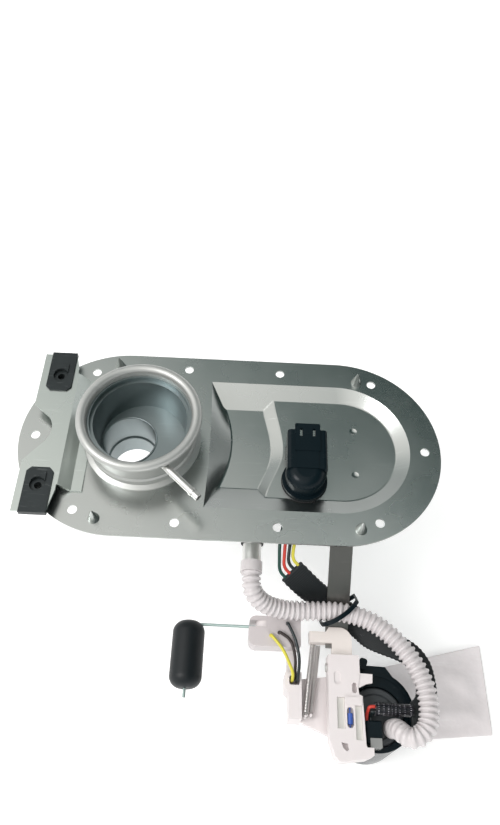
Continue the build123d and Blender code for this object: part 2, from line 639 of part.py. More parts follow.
with BuildPart() as filter_housing:
    extrude(can_outline(can_low, 0), amount=can_len)
    fillet(filter_housing.faces().sort_by(Axis.Z)[0].edges(), 2.4)
    extrude(can_outline(can_low + 2.5, can_wall), amount=can_len, mode=Mode.SUBTRACT)
    with BuildSketch(Plane.XY.offset(can_low)):
        with Locations((pump_x, pump_y)):
            Circle(well_r + well_wall)
    extrude(amount=can_len)
    with Locations((pump_x, pump_y, can_low)):
        Cylinder(well_r, 3 * can_len, mode=Mode.SUBTRACT)
filter_housing.part.label = "filter_housing"
export_step(filter_housing.part, "parts/filter_housing.step")

with BuildPart() as filter_element:
    extrude(can_outline(can_low + 3, can_wall + 0.9), amount=can_len - 3.3)
    with Locations((pump_x, pump_y, can_low)):
        Cylinder(well_r + well_wall + 0.5, 3 * can_len, mode=Mode.SUBTRACT)
filter_element.part.label = "filter_element"
export_step(filter_element.part, "parts/filter_element.step")

with BuildPart() as filter_cap:
    extrude(can_outline(can_top - cap_t, 0), amount=cap_t)
    with BuildSketch(Plane.XY.offset(can_top - cap_t)):
        with Locations((96.6, -131.6)):
            RectangleRounded(5.4, 7.4, 2, rotation=-16)
    extrude(amount=cap_t + 3.5)
    with BuildSketch(Plane.XY.offset(can_top)):
        with Locations((can_x, can_y)):
            Circle(can_r - 1.6)
            Circle(can_r - 3.4, mode=Mode.SUBTRACT)
        with Locations((80, can_y)):
            Rectangle(34, 80, mode=Mode.SUBTRACT)
        with Locations((100, -186)):
            Rectangle(60, 30, mode=Mode.SUBTRACT)
    extrude(amount=1.0)
    with Locations((pump_x, pump_y, can_top)):
        Cylinder(well_r, 3 * cap_t, mode=Mode.SUBTRACT)
filter_cap.part.label = "filter_cap"
export_step(filter_cap.part, "parts/filter_cap.step")

# ==== pump: steel shell, end cap with the outlet nipple, inlet cap, and the motor inside ====
pump_axis = Axis((pump_x, pump_y, 0), (0, 0, 1))
pump_plane = Plane(origin=(pump_x, pump_y, 0), x_dir=(1, 0, 0), z_dir=(0, -1, 0))
with BuildPart() as pump_shell:
    with BuildSketch(pump_plane):
        with Locations((pump_r - pump_wall / 2, (pump_top + pump_low) / 2)):
            Rectangle(pump_wall, pump_top - pump_low)
    revolve(axis=pump_axis)
pump_shell.part.label = "pump_shell"
export_step(pump_shell.part, "parts/pump_shell.step")

end_top = can_top - 0.1
with BuildPart() as pump_end_cap:
    with BuildSketch(pump_plane):
        with BuildLine():
            Polyline((0, pump_top - 4), (pump_r - pump_wall - 0.1, pump_top - 4), (pump_r - pump_wall - 0.1, pump_top),
                     (pump_r, pump_top), (pump_r, end_top - 1.2), (pump_r - 1.2, end_top), (pump_r - 4, end_top),
                     (pump_r - 5, end_top - 1), (0, end_top - 1), close=True)
        make_face()
    revolve(axis=pump_axis)
    with Locations((pump_x + nipple_dx, pump_y + nipple_dy, end_top - 1)):
        Cylinder(nipple_r, nipple_top - end_top + 1, align=(Align.CENTER, Align.CENTER, Align.MIN))
        Cylinder(nipple_r - 1.4, 60, mode=Mode.SUBTRACT)
    with Locations((pump_x, pump_y, pump_top - 4)):
        Cylinder(shaft_r + run_fit, 3, align=(Align.CENTER, Align.CENTER, Align.MIN), mode=Mode.SUBTRACT)
pump_end_cap.part.label = "pump_end_cap"
export_step(pump_end_cap.part, "parts/pump_end_cap.step")

inlet_low = pump_low - 7
with BuildPart() as pump_inlet_cap:
    with BuildSketch(pump_plane):
        with BuildLine():
            Polyline((0, pump_low + 3.4), (pump_r - pump_wall - 0.1, pump_low + 3.4),
                     (pump_r - pump_wall - 0.1, pump_low), (pump_r, pump_low), (pump_r, pump_low - 2.2),
                     (6.4, pump_low - 2.2), (6.4, inlet_low), (0, inlet_low), close=True)
        make_face()
    revolve(axis=pump_axis)
    with Locations((pump_x, pump_y, pump_low + 3.4)):
        Cylinder(shaft_r + run_fit, 3, align=(Align.CENTER, Align.CENTER, Align.MAX), mode=Mode.SUBTRACT)
    with Locations((pump_x, pump_y, inlet_low)):
        Cylinder(4.6, 5, align=(Align.CENTER, Align.CENTER, Align.MIN), mode=Mode.SUBTRACT)
    with Locations((pump_x + 9.5, pump_y, pump_low + 3.4)):
        Cylinder(1.5, 20, mode=Mode.SUBTRACT)
pump_inlet_cap.part.label = "pump_inlet_cap"
export_step(pump_inlet_cap.part, "parts/pump_inlet_cap.step")

motor_low, motor_high = pump_low + 10, pump_top - 11
with BuildPart() as pump_magnets:
    with BuildSketch(Plane.XY.offset(motor_low)):
        with Locations((pump_x, pump_y)):
            Circle(pump_r - pump_wall - 0.1)
            Circle(magnet_in, mode=Mode.SUBTRACT)
            Rectangle(12, 3 * pump_r, mode=Mode.SUBTRACT)
    extrude(amount=motor_high - motor_low)
pump_magnets.part.label = "pump_magnets"
export_step(pump_magnets.part, "parts/pump_magnets.step")

impeller_z = pump_low + 3.6
commutator_r = 5.0
with BuildPart() as pump_armature:
    with BuildSketch(Plane.XY.offset(motor_low)):
        with Locations((pump_x, pump_y)):
            Circle(armature_r)
            with PolarLocations(armature_r - 1.8, 7):
                Rectangle(5.4, 1.4, mode=Mode.SUBTRACT)
    extrude(amount=motor_high - motor_low - 1)
    with Locations((pump_x, pump_y, motor_high - 1)):
        Cylinder(commutator_r, pump_top - 5 - motor_high, align=(Align.CENTER, Align.CENTER, Align.MIN))
    with Locations((pump_x, pump_y, pump_low + 1)):
        Cylinder(shaft_r, pump_top - 1.5 - pump_low - 1, align=(Align.CENTER, Align.CENTER, Align.MIN))
pump_armature.part.label = "pump_armature"
export_step(pump_armature.part, "parts/pump_armature.step")

with BuildPart() as pump_impeller:
    with BuildSketch(Plane.XY.offset(impeller_z)):
        with Locations((pump_x, pump_y)):
            Circle(impeller_r)
            Circle(shaft_r, mode=Mode.SUBTRACT)
            with PolarLocations(impeller_r - 1.2, vane_count):
                Rectangle(3.2, 1.5, mode=Mode.SUBTRACT)
    extrude(amount=impeller_t)
pump_impeller.part.label = "pump_impeller"
export_step(pump_impeller.part, "parts/pump_impeller.step")

with BuildPart() as pump_brushes:
    for side in (-1, 1):
        with Locations((pump_x + side * (commutator_r + 0.1), pump_y, pump_top - 4)):
            Box(4.5, 4, 3.6, align=(Align.MIN if side > 0 else Align.MAX, Align.CENTER, Align.MAX))
pump_brushes.part.label = "pump_brushes"
export_step(pump_brushes.part, "parts/pump_brushes.step")

# ==== pump plug and its locking clip ====
plug_box = (95.6, 106.2, -182.6, -168.4)
plug_low, plug_high = end_top + 0.1, -53.4
with BuildPart() as pump_plug:
    with BuildSketch(Plane.XY.offset(plug_low)):
        with Locations(((plug_box[0] + plug_box[1]) / 2, (plug_box[2] + plug_box[3]) / 2)):
            RectangleRounded(plug_box[1] - plug_box[0], plug_box[3] - plug_box[2], 1.2)
    extrude(amount=plug_high - plug_low)
    chamfer(pump_plug.faces().sort_by(Axis.Z)[-1].edges(), 0.8)
pump_plug.part.label = "pump_plug"
export_step(pump_plug.part, "parts/pump_plug.step")

clip_x, clip_w = 101.6, 7.4
with BuildPart() as plug_clip:
    with BuildSketch(Plane.XY.offset(plug_low + 1)):
        with Locations((clip_x, plug_box[2] - 1.0)):
            Rectangle(clip_w, 2.0)
    extrude(amount=plug_high - plug_low)
    with BuildSketch(Plane.XY.offset(plug_high)):
        with Locations((clip_x, plug_box[2] + 0.8)):
            Rectangle(clip_w, 5.6)
    extrude(amount=1)
plug_clip.part.label = "plug_clip"
export_step(plug_clip.part, "parts/plug_clip.step")

# ==== strainer: inlet collar and sock ====
with BuildPart() as strainer_collar:
    with BuildSketch(Plane.XY.offset(inlet_low - 0.4)):
        with Locations((pump_x, pump_y)):
            Circle(9)
            Circle(6.5, mode=Mode.SUBTRACT)
    extrude(amount=4.6)
strainer_collar.part.label = "strainer_collar"
export_step(strainer_collar.part, "parts/strainer_collar.step")

sock_top = inlet_low - 0.5
with BuildPart() as strainer_sock:
    with BuildSketch(Plane.XY.offset(sock_top - 5)):
        with BuildLine():
            Polyline((92, -124), (126, -115), (158, -106.5), (198, -95.5), (202.7, -163.6), (154, -166.4), (93, -174),
                     close=True)
        make_face()
        fillet(vertices().group_by(Axis.X)[0], 5)
    extrude(amount=5)
strainer_sock.part.label = "strainer_sock"
export_step(strainer_sock.part, "parts/strainer_sock.step")

# ==== float sender: case, resistor card, wiper hub, arm and float ====
float_x = hub_x - arm_reach * cos(radians(arm_drop))
float_z = hub_z - arm_reach * sin(radians(arm_drop))
arm_lean = 4.4  # the wire leans this far back over its reach
hub_far, hub_near = -107.2, -121.8
pivot_r = 2.0
case_mid_y = (case_y[0] + case_y[1]) / 2
with BuildPart() as sender_case:
    with BuildSketch(Plane.XZ.offset(-case_y[0])):
        with Locations(((case_x[0] + case_x[1]) / 2, (case_z[0] + case_z[1]) / 2)):
            Rectangle(case_x[1] - case_x[0], case_z[1] - case_z[0])
    extrude(amount=case_y[0] - case_y[1])
    fillet(sender_case.edges().filter_by(Axis.Z).group_by(Axis.X)[0], 5)
    fillet(sender_case.edges().filter_by(Axis.Z).group_by(Axis.X)[-1], 2)
    with BuildSketch(Plane.XZ.offset(-hub_far)):
        with Locations((hub_x, hub_z)):
            Circle(hub_r + 0.35)
    extrude(amount=hub_far - hub_near, mode=Mode.SUBTRACT)
    with BuildSketch(Plane.XZ.offset(-hub_near)):
        with Locations((hub_x + 5, hub_z)):
            Rectangle(20, 9)
    extrude(amount=1.4, mode=Mode.SUBTRACT)
    with Locations(Plane(origin=(hub_x, case_y[0] + 1, hub_z), z_dir=(0, -1, 0))):
        Cylinder(pivot_r + run_fit, case_y[0] - case_y[1] + 0.2, align=(Align.CENTER, Align.CENTER, Align.MIN),
                 mode=Mode.SUBTRACT)
    with Locations((case_x[0] - 2, arm_y + 0.8, case_z[0] - 1)):
        Box(hub_x - case_x[0] + 3, 4.6, case_z[1] - case_z[0] + 2, align=(Align.MIN, Align.CENTER, Align.MIN),
            mode=Mode.SUBTRACT)
sender_case.part.label = "sender_case"
export_step(sender_case.part, "parts/sender_case.step")

with BuildPart() as resistor_card:
    with BuildSketch(Plane.XZ.offset(-hub_near + 0.5)):
        with Locations((hub_x + 5, hub_z)):
            Rectangle(19.6, 8.6)
            with Locations((-5, 0)):
                Circle(pivot_r + 0.6, mode=Mode.SUBTRACT)
    extrude(amount=0.8)
resistor_card.part.label = "resistor_card"
export_step(resistor_card.part, "parts/resistor_card.step")

with BuildPart() as wiper_hub:
    with BuildSketch(Plane.XZ.offset(-hub_far + 0.3)):
        with Locations((hub_x, hub_z)):
            Circle(hub_r)
    extrude(amount=hub_far - hub_near - 0.6)
    with Locations(Plane(origin=(hub_x, case_y[0], hub_z), z_dir=(0, -1, 0))):
        Cylinder(pivot_r, case_y[0] - case_y[1] - 2, align=(Align.CENTER, Align.CENTER, Align.MIN))
    with Locations(Plane(origin=(hub_x, arm_y, hub_z), z_dir=(float_x - hub_x, arm_lean, float_z - hub_z))):
        Cylinder(arm_wire_r, 3 * hub_r, align=(Align.CENTER, Align.CENTER, Align.MIN), mode=Mode.SUBTRACT)
wiper_hub.part.label = "wiper_hub"
export_step(wiper_hub.part, "parts/wiper_hub.step")

with BuildPart() as float_arm:
    with BuildLine() as arm_path:
        FilletPolyline((hub_x, arm_y, hub_z), (float_x, arm_y + arm_lean, float_z), (float_x, wire_tip_y, float_z),
                       radius=3)
    with BuildSketch(Plane(origin=arm_path.wires()[0] @ 0, z_dir=arm_path.wires()[0] % 0)):
        Circle(arm_wire_r)
    sweep()
float_arm.part.label = "float_arm"
export_step(float_arm.part, "parts/float_arm.step")

with BuildPart() as float_body:
    with BuildSketch(Plane(origin=(float_x, 0, float_z), x_dir=(1, 0, 0), z_dir=(0, 0, 1))):
        with BuildLine():
            Polyline((arm_wire_r, float_far), (float_r, float_far), (float_r, float_near), (arm_wire_r, float_near),
                     close=True)
        make_face()
        fillet(vertices().group_by(Axis.X)[-1], 8)
    revolve(axis=Axis((float_x, 0, float_z), (0, 1, 0)))
    add(float_arm.part, mode=Mode.SUBTRACT)
float_body.part.label = "float"
export_step(float_body.part, "parts/float.step")

# ==== fuel hose: from the outlet's cuff, over the strap, round and down on the pump nipple ====
nipple = (pump_x + nipple_dx, pump_y + nipple_dy)
hose_start = outlet_end - 6.0
hose_points = [
    (outlet_x, hose_start, outlet_z), (outlet_x, -93.0, outlet_z), (20.6, -99.2, -25.2), (29.0, -103.4, -32.6),
    (42.0, -104.4, -38.2), (59.0, -103.4, -40.4), (80.0, -102.4, -40.6), (102.0, -108.2, -41.0),
    (120.0, -123.5, -41.0), (132.0, -143.5, -41.0), (134.2, -163.5, -41.0), (129.5, -181.5, -41.0),
    (nipple[0], -182.6, -41.4), (*nipple, -43.5), (*nipple, end_top + 0.2),
]
hose_path = route("fuel_hose", hose_points)
hose_section = round_section(hose_path, hose_r, hose_bore)
with BuildPart() as fuel_hose:
    sweep(hose_section, path=hose_path)
fuel_hose.part.label = "fuel_hose"
export_step(fuel_hose.part, "parts/fuel_hose.step")

with BuildPart() as hose_cuff:
    with BuildSketch(Plane(origin=(outlet_x, -78.5, outlet_z), z_dir=(0, -1, 0))):
        Circle(outlet_r + 1.0)
        Circle(outlet_r + 0.05, mode=Mode.SUBTRACT)
    extrude(amount=-outlet_end - 78.5)
    with BuildSketch(Plane(origin=(outlet_x, outlet_end, outlet_z), z_dir=(0, -1, 0))):
        Circle(outlet_r + 1.0)
        Circle(hose_bore, mode=Mode.SUBTRACT)
    extrude(amount=outlet_end - hose_start - 0.3)
hose_cuff.part.label = "hose_cuff"
export_step(hose_cuff.part, "parts/hose_cuff.step")

# ==== cable tie: a flat loop laid diagonally round the hose and the strap ====
slope = atan2(strap_bend[1] - strap_low[1], strap_bend[0] - strap_low[0])
tie_y = -98.4
tie_z = strap_bend[1] - (strap_bend[0] - tie_y) * tan(slope)
tie_half, tie_low, tie_shoulder, tie_high = 13.8, -1.2, 8.8, 16.0
along_strap = Vector(0, cos(slope), sin(slope))
off_strap = Vector(0, -sin(slope), cos(slope))
tie_dir = (Vector(1, 0, 0) * 0.8 + along_strap * 0.6).normalized()
tie_plane = Plane(origin=Vector(strap_x, tie_y, tie_z), x_dir=tie_dir, z_dir=tie_dir.cross(off_strap))
with BuildPart() as cable_tie:
    with BuildSketch(tie_plane):
        with BuildLine():
            Polyline((-tie_half, tie_shoulder), (-tie_half, tie_low), (tie_half, tie_low), (tie_half, tie_shoulder))
            ThreePointArc((-tie_half, tie_shoulder), (0, tie_high), (tie_half, tie_shoulder))
        make_face()
        offset(amount=1.2)
        with BuildLine():
            Polyline((-tie_half, tie_shoulder), (-tie_half, tie_low), (tie_half, tie_low), (tie_half, tie_shoulder))
            ThreePointArc((-tie_half, tie_shoulder), (0, tie_high), (tie_half, tie_shoulder))
        make_face(mode=Mode.SUBTRACT)
    extrude(amount=1.4, both=True)
cable_tie.part.label = "cable_tie"
export_step(cable_tie.part, "parts/cable_tie.step")

# ==== leads: four wires into the flared mouth of a taped sleeve, on round the hose, back as a loom ====
mouth = Plane(origin=(45.4, -80.5, -27.4), x_dir=(0.69, 0.617, 0.377), z_dir=(10.6, -6.0, -9.6))
mouth_w, mouth_t, mouth_deep = 18.0, 4.4, 3.0
lead_low = base_z - 4.05
lead_runs = {
    "wire_green": [(48.2, -22), (45.5, -34, -19), (38.5, -53, -16), (36.4, -66, -15.5)],
    "wire_red": [(50.8, -25), (48.5, -36, -18), (43, -53, -15), (40.2, -65, -14.5)],
    "wire_black": [(53.6, -22), (52, -35, -19.5), (46.5, -53, -17.0), (43.6, -65, -16.0)],
    "wire_yellow": [(56.2, -25), (54.5, -36.5, -17.5), (49.5, -53, -14.5), (46.6, -64, -14)],
}
for slot, (lead_name, points) in enumerate(lead_runs.items()):
    across = (slot - 1.5) * 4.0
    ends = [tuple(mouth.from_local_coords((across, 0, level))) for level in (-6.0, mouth_deep - 0.1)]
    top = [(*points[0], lead_low), (*points[0], lead_low - 4.5)]
    lead_path = route(lead_name, top + points[1:] + ends)
    lead_section = round_section(lead_path, lead_r)
    with BuildPart() as lead:
        sweep(lead_section, path=lead_path)
    lead.part.label = lead_name
    export_step(lead.part, f"parts/{lead_name}.step")

# each station of the flat sleeve: its middle, the way its width runs and the way it travels
sleeve_w, sleeve_t = 18.0, 4.4
sleeve_stations = [
    ((63.9, -89.7, -45.5), (15.2, 8.6, 8.0), (12, -5.5, -10)),
    ((80.7, -95.8, -56.0), (10.7, 11.6, 12.0), (12, -4.5, -7)),
    ((94.3, -104.3, -60.5), (10.7, 11.9, 11.0), (12, -8.0, -2.5)),
    ((104.9, -112.7, -61.5), (10.3, 13.4, 9.0), (10, -7.0, 0)),
    ((114.9, -117.4, -60.2), (10.9, 13.7, 7.5), (10, -5.5, 1.5)),
    ((126.2, -123.0, -58.0), (13.8, 11.6, 4.0), (8, -7.5, 1.5)),
    ((133.0, -131.3, -56.8), (17.7, 5.0, 1.5), (3.5, -9, 1)),
    ((134.8, -142.1, -56.0), (18.2, 1.0, 0.0), (0, -10, 0.6)),
    ((134.8, -151.1, -55.0), (17.0, -2.6, 0.0), (-1.5, -9, 0.8)),
    ((131.4, -158.8, -54.2), (11.6, -12.4, 0.0), (-6, -6, 0.6)),
    ((124.8, -162.6, -53.6), (0, -14.0, 0), (-10, 0, 0)),
]


def sleeve_section(middle, across, onward):
    """A flat section square to its travel."""
    width = Vector(*across).normalized()
    travel = Vector(*onward)
    travel = travel - width * travel.dot(width)
    with BuildSketch(Plane(origin=middle, x_dir=width, z_dir=travel)) as section:
        RectangleRounded(sleeve_w, sleeve_t, 0.48 * sleeve_t)
    return section.sketch


with BuildPart() as loom_sleeve:
    loft([sleeve_section(mouth.origin, mouth.x_dir, mouth.z_dir)]
         + [sleeve_section(*station) for station in sleeve_stations], ruled=True)
    with BuildSketch(mouth):
        RectangleRounded(mouth_w - 1.6, mouth_t - 1.6, 0.48 * (mouth_t - 1.6))
    extrude(amount=mouth_deep, mode=Mode.SUBTRACT)
loom_sleeve.part.label = "loom_sleeve"
export_step(loom_sleeve.part, "parts/loom_sleeve.step")

loom_points = [(124.7, -161.6, -53.6), (117.5, -161.6, -53.6), (109.5, -161.4, -53.0), (101.9, -161.4, -53.0)]
loom_path = route("braided_loom", loom_points)
loom_section = round_section(loom_path, loom_r)
with BuildPart() as braided_loom:
    sweep(loom_section, path=loom_path)
braided_loom.part.label = "braided_loom"
export_step(braided_loom.part, "parts/braided_loom.step")

plug_runs = {
    "pump_wire_red": [(101.8, -160.2, -52.4), (98.2, -160.2, -52.4), (97.0, -164.4, -57.0), (97.0, -168.35, -57.0)],
    "pump_wire_black": [(101.8, -163.0, -53.8), (99.8, -163.0, -53.8), (99.8, -165.0, -58.4), (99.8, -168.35, -58.4)],
}
case_top = case_z[1] + 0.05
sender_runs = {
    "sender_wire_yellow": [(33.4, -118.5, case_top), (33.4, -118.5, case_top + 3.6), (42.0, -128.0, -46.5),
                           (48.6, -141.5, -50.5), (48.7, -144.7, -56.0), (48.7, -144.7, -62.0)],
    "sender_wire_black": [(44.5, -110.0, case_top), (44.5, -110.0, case_top + 3.6), (50.0, -121.0, -46.0),
                          (53.0, -134.0, -48.0), (52.0, -144.7, -54.5), (51.9, -144.7, -62.0)],
    "sender_wire_brown": [(39.0, -116.3, case_top), (39.0, -116.3, case_top + 3.0), (47.0, -121.0, -47.4),
                          (50.4, -132.0, -49.9), (50.3, -142.9, -56.6), (50.3, -142.9, -62.0)],
}
for lead_name, points in (plug_runs | sender_runs).items():
    lead_path = route(lead_name, points)
    lead_section = round_section(lead_path, lead_r - 0.1)
    with BuildPart() as lead:
        sweep(lead_section, path=lead_path)
    lead.part.label = lead_name
    export_step(lead.part, f"parts/{lead_name}.step")
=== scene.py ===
import bpy
from math import pi, radians
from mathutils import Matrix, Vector, noise


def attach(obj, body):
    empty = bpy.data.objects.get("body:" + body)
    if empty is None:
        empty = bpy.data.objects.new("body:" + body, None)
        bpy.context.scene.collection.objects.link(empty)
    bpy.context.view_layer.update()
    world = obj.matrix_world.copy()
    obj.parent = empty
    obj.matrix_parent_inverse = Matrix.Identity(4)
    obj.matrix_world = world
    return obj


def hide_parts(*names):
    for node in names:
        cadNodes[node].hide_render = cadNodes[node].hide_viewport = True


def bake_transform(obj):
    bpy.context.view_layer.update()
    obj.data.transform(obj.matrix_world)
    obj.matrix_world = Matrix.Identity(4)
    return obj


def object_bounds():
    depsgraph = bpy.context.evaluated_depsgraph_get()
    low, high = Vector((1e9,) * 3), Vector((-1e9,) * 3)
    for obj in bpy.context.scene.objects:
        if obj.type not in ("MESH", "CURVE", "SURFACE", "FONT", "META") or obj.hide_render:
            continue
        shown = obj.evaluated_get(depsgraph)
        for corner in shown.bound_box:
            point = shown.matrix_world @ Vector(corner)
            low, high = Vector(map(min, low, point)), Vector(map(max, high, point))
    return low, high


# Saddle-tank fuel pump module. Numbers in the dictionaries are millimetres and degrees.
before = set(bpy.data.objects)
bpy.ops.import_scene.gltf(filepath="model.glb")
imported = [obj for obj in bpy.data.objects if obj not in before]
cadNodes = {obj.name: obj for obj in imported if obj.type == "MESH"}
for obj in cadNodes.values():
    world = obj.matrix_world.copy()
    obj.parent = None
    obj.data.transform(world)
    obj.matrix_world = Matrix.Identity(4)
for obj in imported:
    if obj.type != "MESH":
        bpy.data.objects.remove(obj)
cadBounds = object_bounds()
mm = 0.001
scene = bpy.context.scene
scene.view_settings.view_transform = "Standard"

cameraSetup = {"place": (9.07, -255.51, 439.21), "turn": (32.76, -1.776, 2.019), "lens": 31.42}
studio = {
    "floorDrop": 1.0,  # below the lowest point of the module
    "floorSize": 6000.0,
    "floorTone": (0.86, 0.86, 0.86),
    "glow": 0.34,
}
lamps = {  # mirrored: seen in the bright steel
    "keyLeft": {"place": (-900, -400, 1150), "aim": (0, -40, 0), "size": 700, "power": 11, "mirrored": True},
    "fillFront": {
        "place": (450, -1300, 700), "aim": (60, -120, -40), "size": 900, "power": 7.5, "mirrored": False,
    },
    "topBack": {"place": (-300, 900, 900), "aim": (0, 0, 0), "size": 600, "power": 2.5, "mirrored": False},
    "glintRight": {
        "place": (480, 560, 1840), "aim": (100, -70, 0), "size": 270, "power": 0.30, "mirrored": True,
    },
}
room = {
    "paleTone": (0.90, 0.90, 0.90),  # round the horizon, for every ray
    "paleBelow": 0.24,  # sine of the height up to which it is plain
    "paleUpTo": 0.42,  # sine of the height at which it has faded out
    "towards": (-0.62, -0.20, 0.76),  # the bright side of the room
    "steps": [  # tone by how far a direction leans that way, 0 away to 1 towards
        (0.0, (0.05, 0.07, 0.07)), (0.35, (0.03, 0.06, 0.058)), (0.68, (0.025, 0.055, 0.053)),
        (0.745, (0.11, 0.17, 0.165)), (0.78, (0.42, 0.48, 0.47)), (0.815, (0.88, 0.88, 0.86)),
        (0.855, (1.16, 1.13, 1.10)), (1.0, (1.3, 1.25, 1.22)),
    ],
}


def scaled(values):
    return tuple(value * mm for value in values)


def addCamera():
    bpy.ops.object.camera_add(
        location=scaled(cameraSetup["place"]), rotation=[radians(angle) for angle in cameraSetup["turn"]]
    )
    camera = bpy.context.object
    camera.name = "viewCamera"
    camera.data.sensor_width = 36
    camera.data.lens = cameraSetup["lens"]
    camera.data.clip_start = 0.01
    scene.camera = camera


def addLamps():
    for name, lamp in lamps.items():
        aim = Vector(scaled(lamp["aim"])) - Vector(scaled(lamp["place"]))
        bpy.ops.object.light_add(
            type="AREA", location=scaled(lamp["place"]), rotation=aim.to_track_quat("-Z", "Y").to_euler()
        )
        light = bpy.context.object
        light.name = name
        light.data.shape = "DISK"
        light.data.size = lamp["size"] * mm
        light.data.energy = lamp["power"]
        light.visible_glossy = lamp["mirrored"]


def mathNode(nodes, links, operation, first, second=None):
    node = nodes.new("ShaderNodeMath")
    node.operation = operation
    for index, value in enumerate((first, second)):
        if isinstance(value, (int, float)):
            node.inputs[index].default_value = value
        elif value is not None:
            links.new(value, node.inputs[index])
    return node.outputs[0]


def rayMask(nodes, links):
    path = nodes.new("ShaderNodeLightPath")
    seen = mathNode(nodes, links, "MAXIMUM", path.outputs["Is Camera Ray"], path.outputs["Is Glossy Ray"])
    return mathNode(nodes, links, "MAXIMUM", seen, path.outputs["Is Transmission Ray"])


def mixTones(nodes, links, factor, first, second):
    blend = nodes.new("ShaderNodeMix")
    blend.data_type = "RGBA"
    links.new(factor, blend.inputs["Factor"])
    for socket, tone in ((6, first), (7, second)):
        if isinstance(tone, tuple):
            blend.inputs[socket].default_value = (*tone, 1)
        else:
            links.new(tone, blend.inputs[socket])
    return blend.outputs[2]


def addFloor():
    low = cadBounds[0][2] - studio["floorDrop"] * mm
    bpy.ops.mesh.primitive_plane_add(size=studio["floorSize"] * mm, location=(0, 0, low))
    floor = bpy.context.object
    floor.name = "studioFloor"
    material = bpy.data.materials.new("floorPaper")
    material.use_nodes = True
    nodes, links = material.node_tree.nodes, material.node_tree.links
    nodes.clear()
    output = nodes.new("ShaderNodeOutputMaterial")
    paper = nodes.new("ShaderNodeBsdfDiffuse")
    glow = nodes.new("ShaderNodeEmission")
    glow.inputs["Strength"].default_value = studio["glow"]
    paper.inputs["Color"].default_value = (*studio["floorTone"], 1)
    both = nodes.new("ShaderNodeAddShader")
    either = nodes.new("ShaderNodeMixShader")
    links.new(rayMask(nodes, links), either.inputs[0])
    links.new(paper.outputs[0], either.inputs[1])
    links.new(paper.outputs[0], both.inputs[0])
    links.new(glow.outputs[0], both.inputs[1])
    links.new(both.outputs[0], either.inputs[2])
    links.new(either.outputs[0], output.inputs["Surface"])
    floor.data.materials.append(material)


def setWorld():
    world = bpy.data.worlds.new("studioRoom")
    scene.world = world
    world.use_nodes = True
    nodes, links = world.node_tree.nodes, world.node_tree.links
    nodes.clear()
    output = nodes.new("ShaderNodeOutputWorld")
    walls = nodes.new("ShaderNodeBackground")
    compass = nodes.new("ShaderNodeTexCoord")
    lean = nodes.new("ShaderNodeVectorMath")
    lean.operation = "DOT_PRODUCT"
    lean.inputs[1].default_value = room["towards"]
    ramp = nodes.new("ShaderNodeValToRGB")
    steps = ramp.color_ramp.elements
    steps[0].position, steps[1].position = 0.0, 1.0
    for place, tone in room["steps"][1:-1]:
        steps.new(place)
    for step, (place, tone) in zip(steps, room["steps"]):
        step.position = place
        step.color = (*tone, 1)
    spread = nodes.new("ShaderNodeMapRange")
    spread.inputs["From Min"].default_value = -1
    links.new(compass.outputs["Generated"], lean.inputs[0])
    links.new(lean.outputs["Value"], spread.inputs["Value"])
    links.new(spread.outputs["Result"], ramp.inputs["Fac"])
    split = nodes.new("ShaderNodeSeparateXYZ")
    links.new(compass.outputs["Generated"], split.inputs[0])
    height = nodes.new("ShaderNodeMapRange")
    height.interpolation_type = "SMOOTHSTEP"
    height.inputs["From Min"].default_value = room["paleBelow"]
    height.inputs["From Max"].default_value = room["paleUpTo"]
    links.new(split.outputs[2], height.inputs["Value"])
    tone = mixTones(nodes, links, height.outputs["Result"], room["paleTone"], ramp.outputs["Color"])
    links.new(tone, walls.inputs["Color"])
    links.new(walls.outputs[0], output.inputs["Surface"])


addCamera()
addLamps()
addFloor()
setWorld()
print("studio ready")


def buildGroup(name, inputs, outputs):
    group = bpy.data.node_groups.new(name, "ShaderNodeTree")
    for label, value in inputs.items():
        socket = group.interface.new_socket(name=label, in_out="INPUT", socket_type="NodeSocketFloat")
        socket.default_value = value
    for label in outputs:
        group.interface.new_socket(name=label, in_out="OUTPUT", socket_type="NodeSocketFloat")
    start = group.nodes.new("NodeGroupInput")
    end = group.nodes.new("NodeGroupOutput")
    return group, start, end


def buildFineGrain():
    group, start, end = buildGroup("fineGrain", {"Scale": 900.0, "Patch Scale": 25.0}, ["Grain", "Patches"])
    nodes, links = group.nodes, group.links
    place = nodes.new("ShaderNodeTexCoord")
    grain = nodes.new("ShaderNodeTexNoise")
    grain.inputs["Detail"].default_value = 3
    patches = nodes.new("ShaderNodeTexNoise")
    patches.inputs["Detail"].default_value = 4
    patches.inputs["Roughness"].default_value = 0.6
    for texture, label in ((grain, "Scale"), (patches, "Patch Scale")):
        links.new(place.outputs["Object"], texture.inputs["Vector"])
        links.new(start.outputs[label], texture.inputs["Scale"])
    links.new(grain.outputs["Fac"], end.inputs["Grain"])
    links.new(patches.outputs["Fac"], end.inputs["Patches"])
    return group


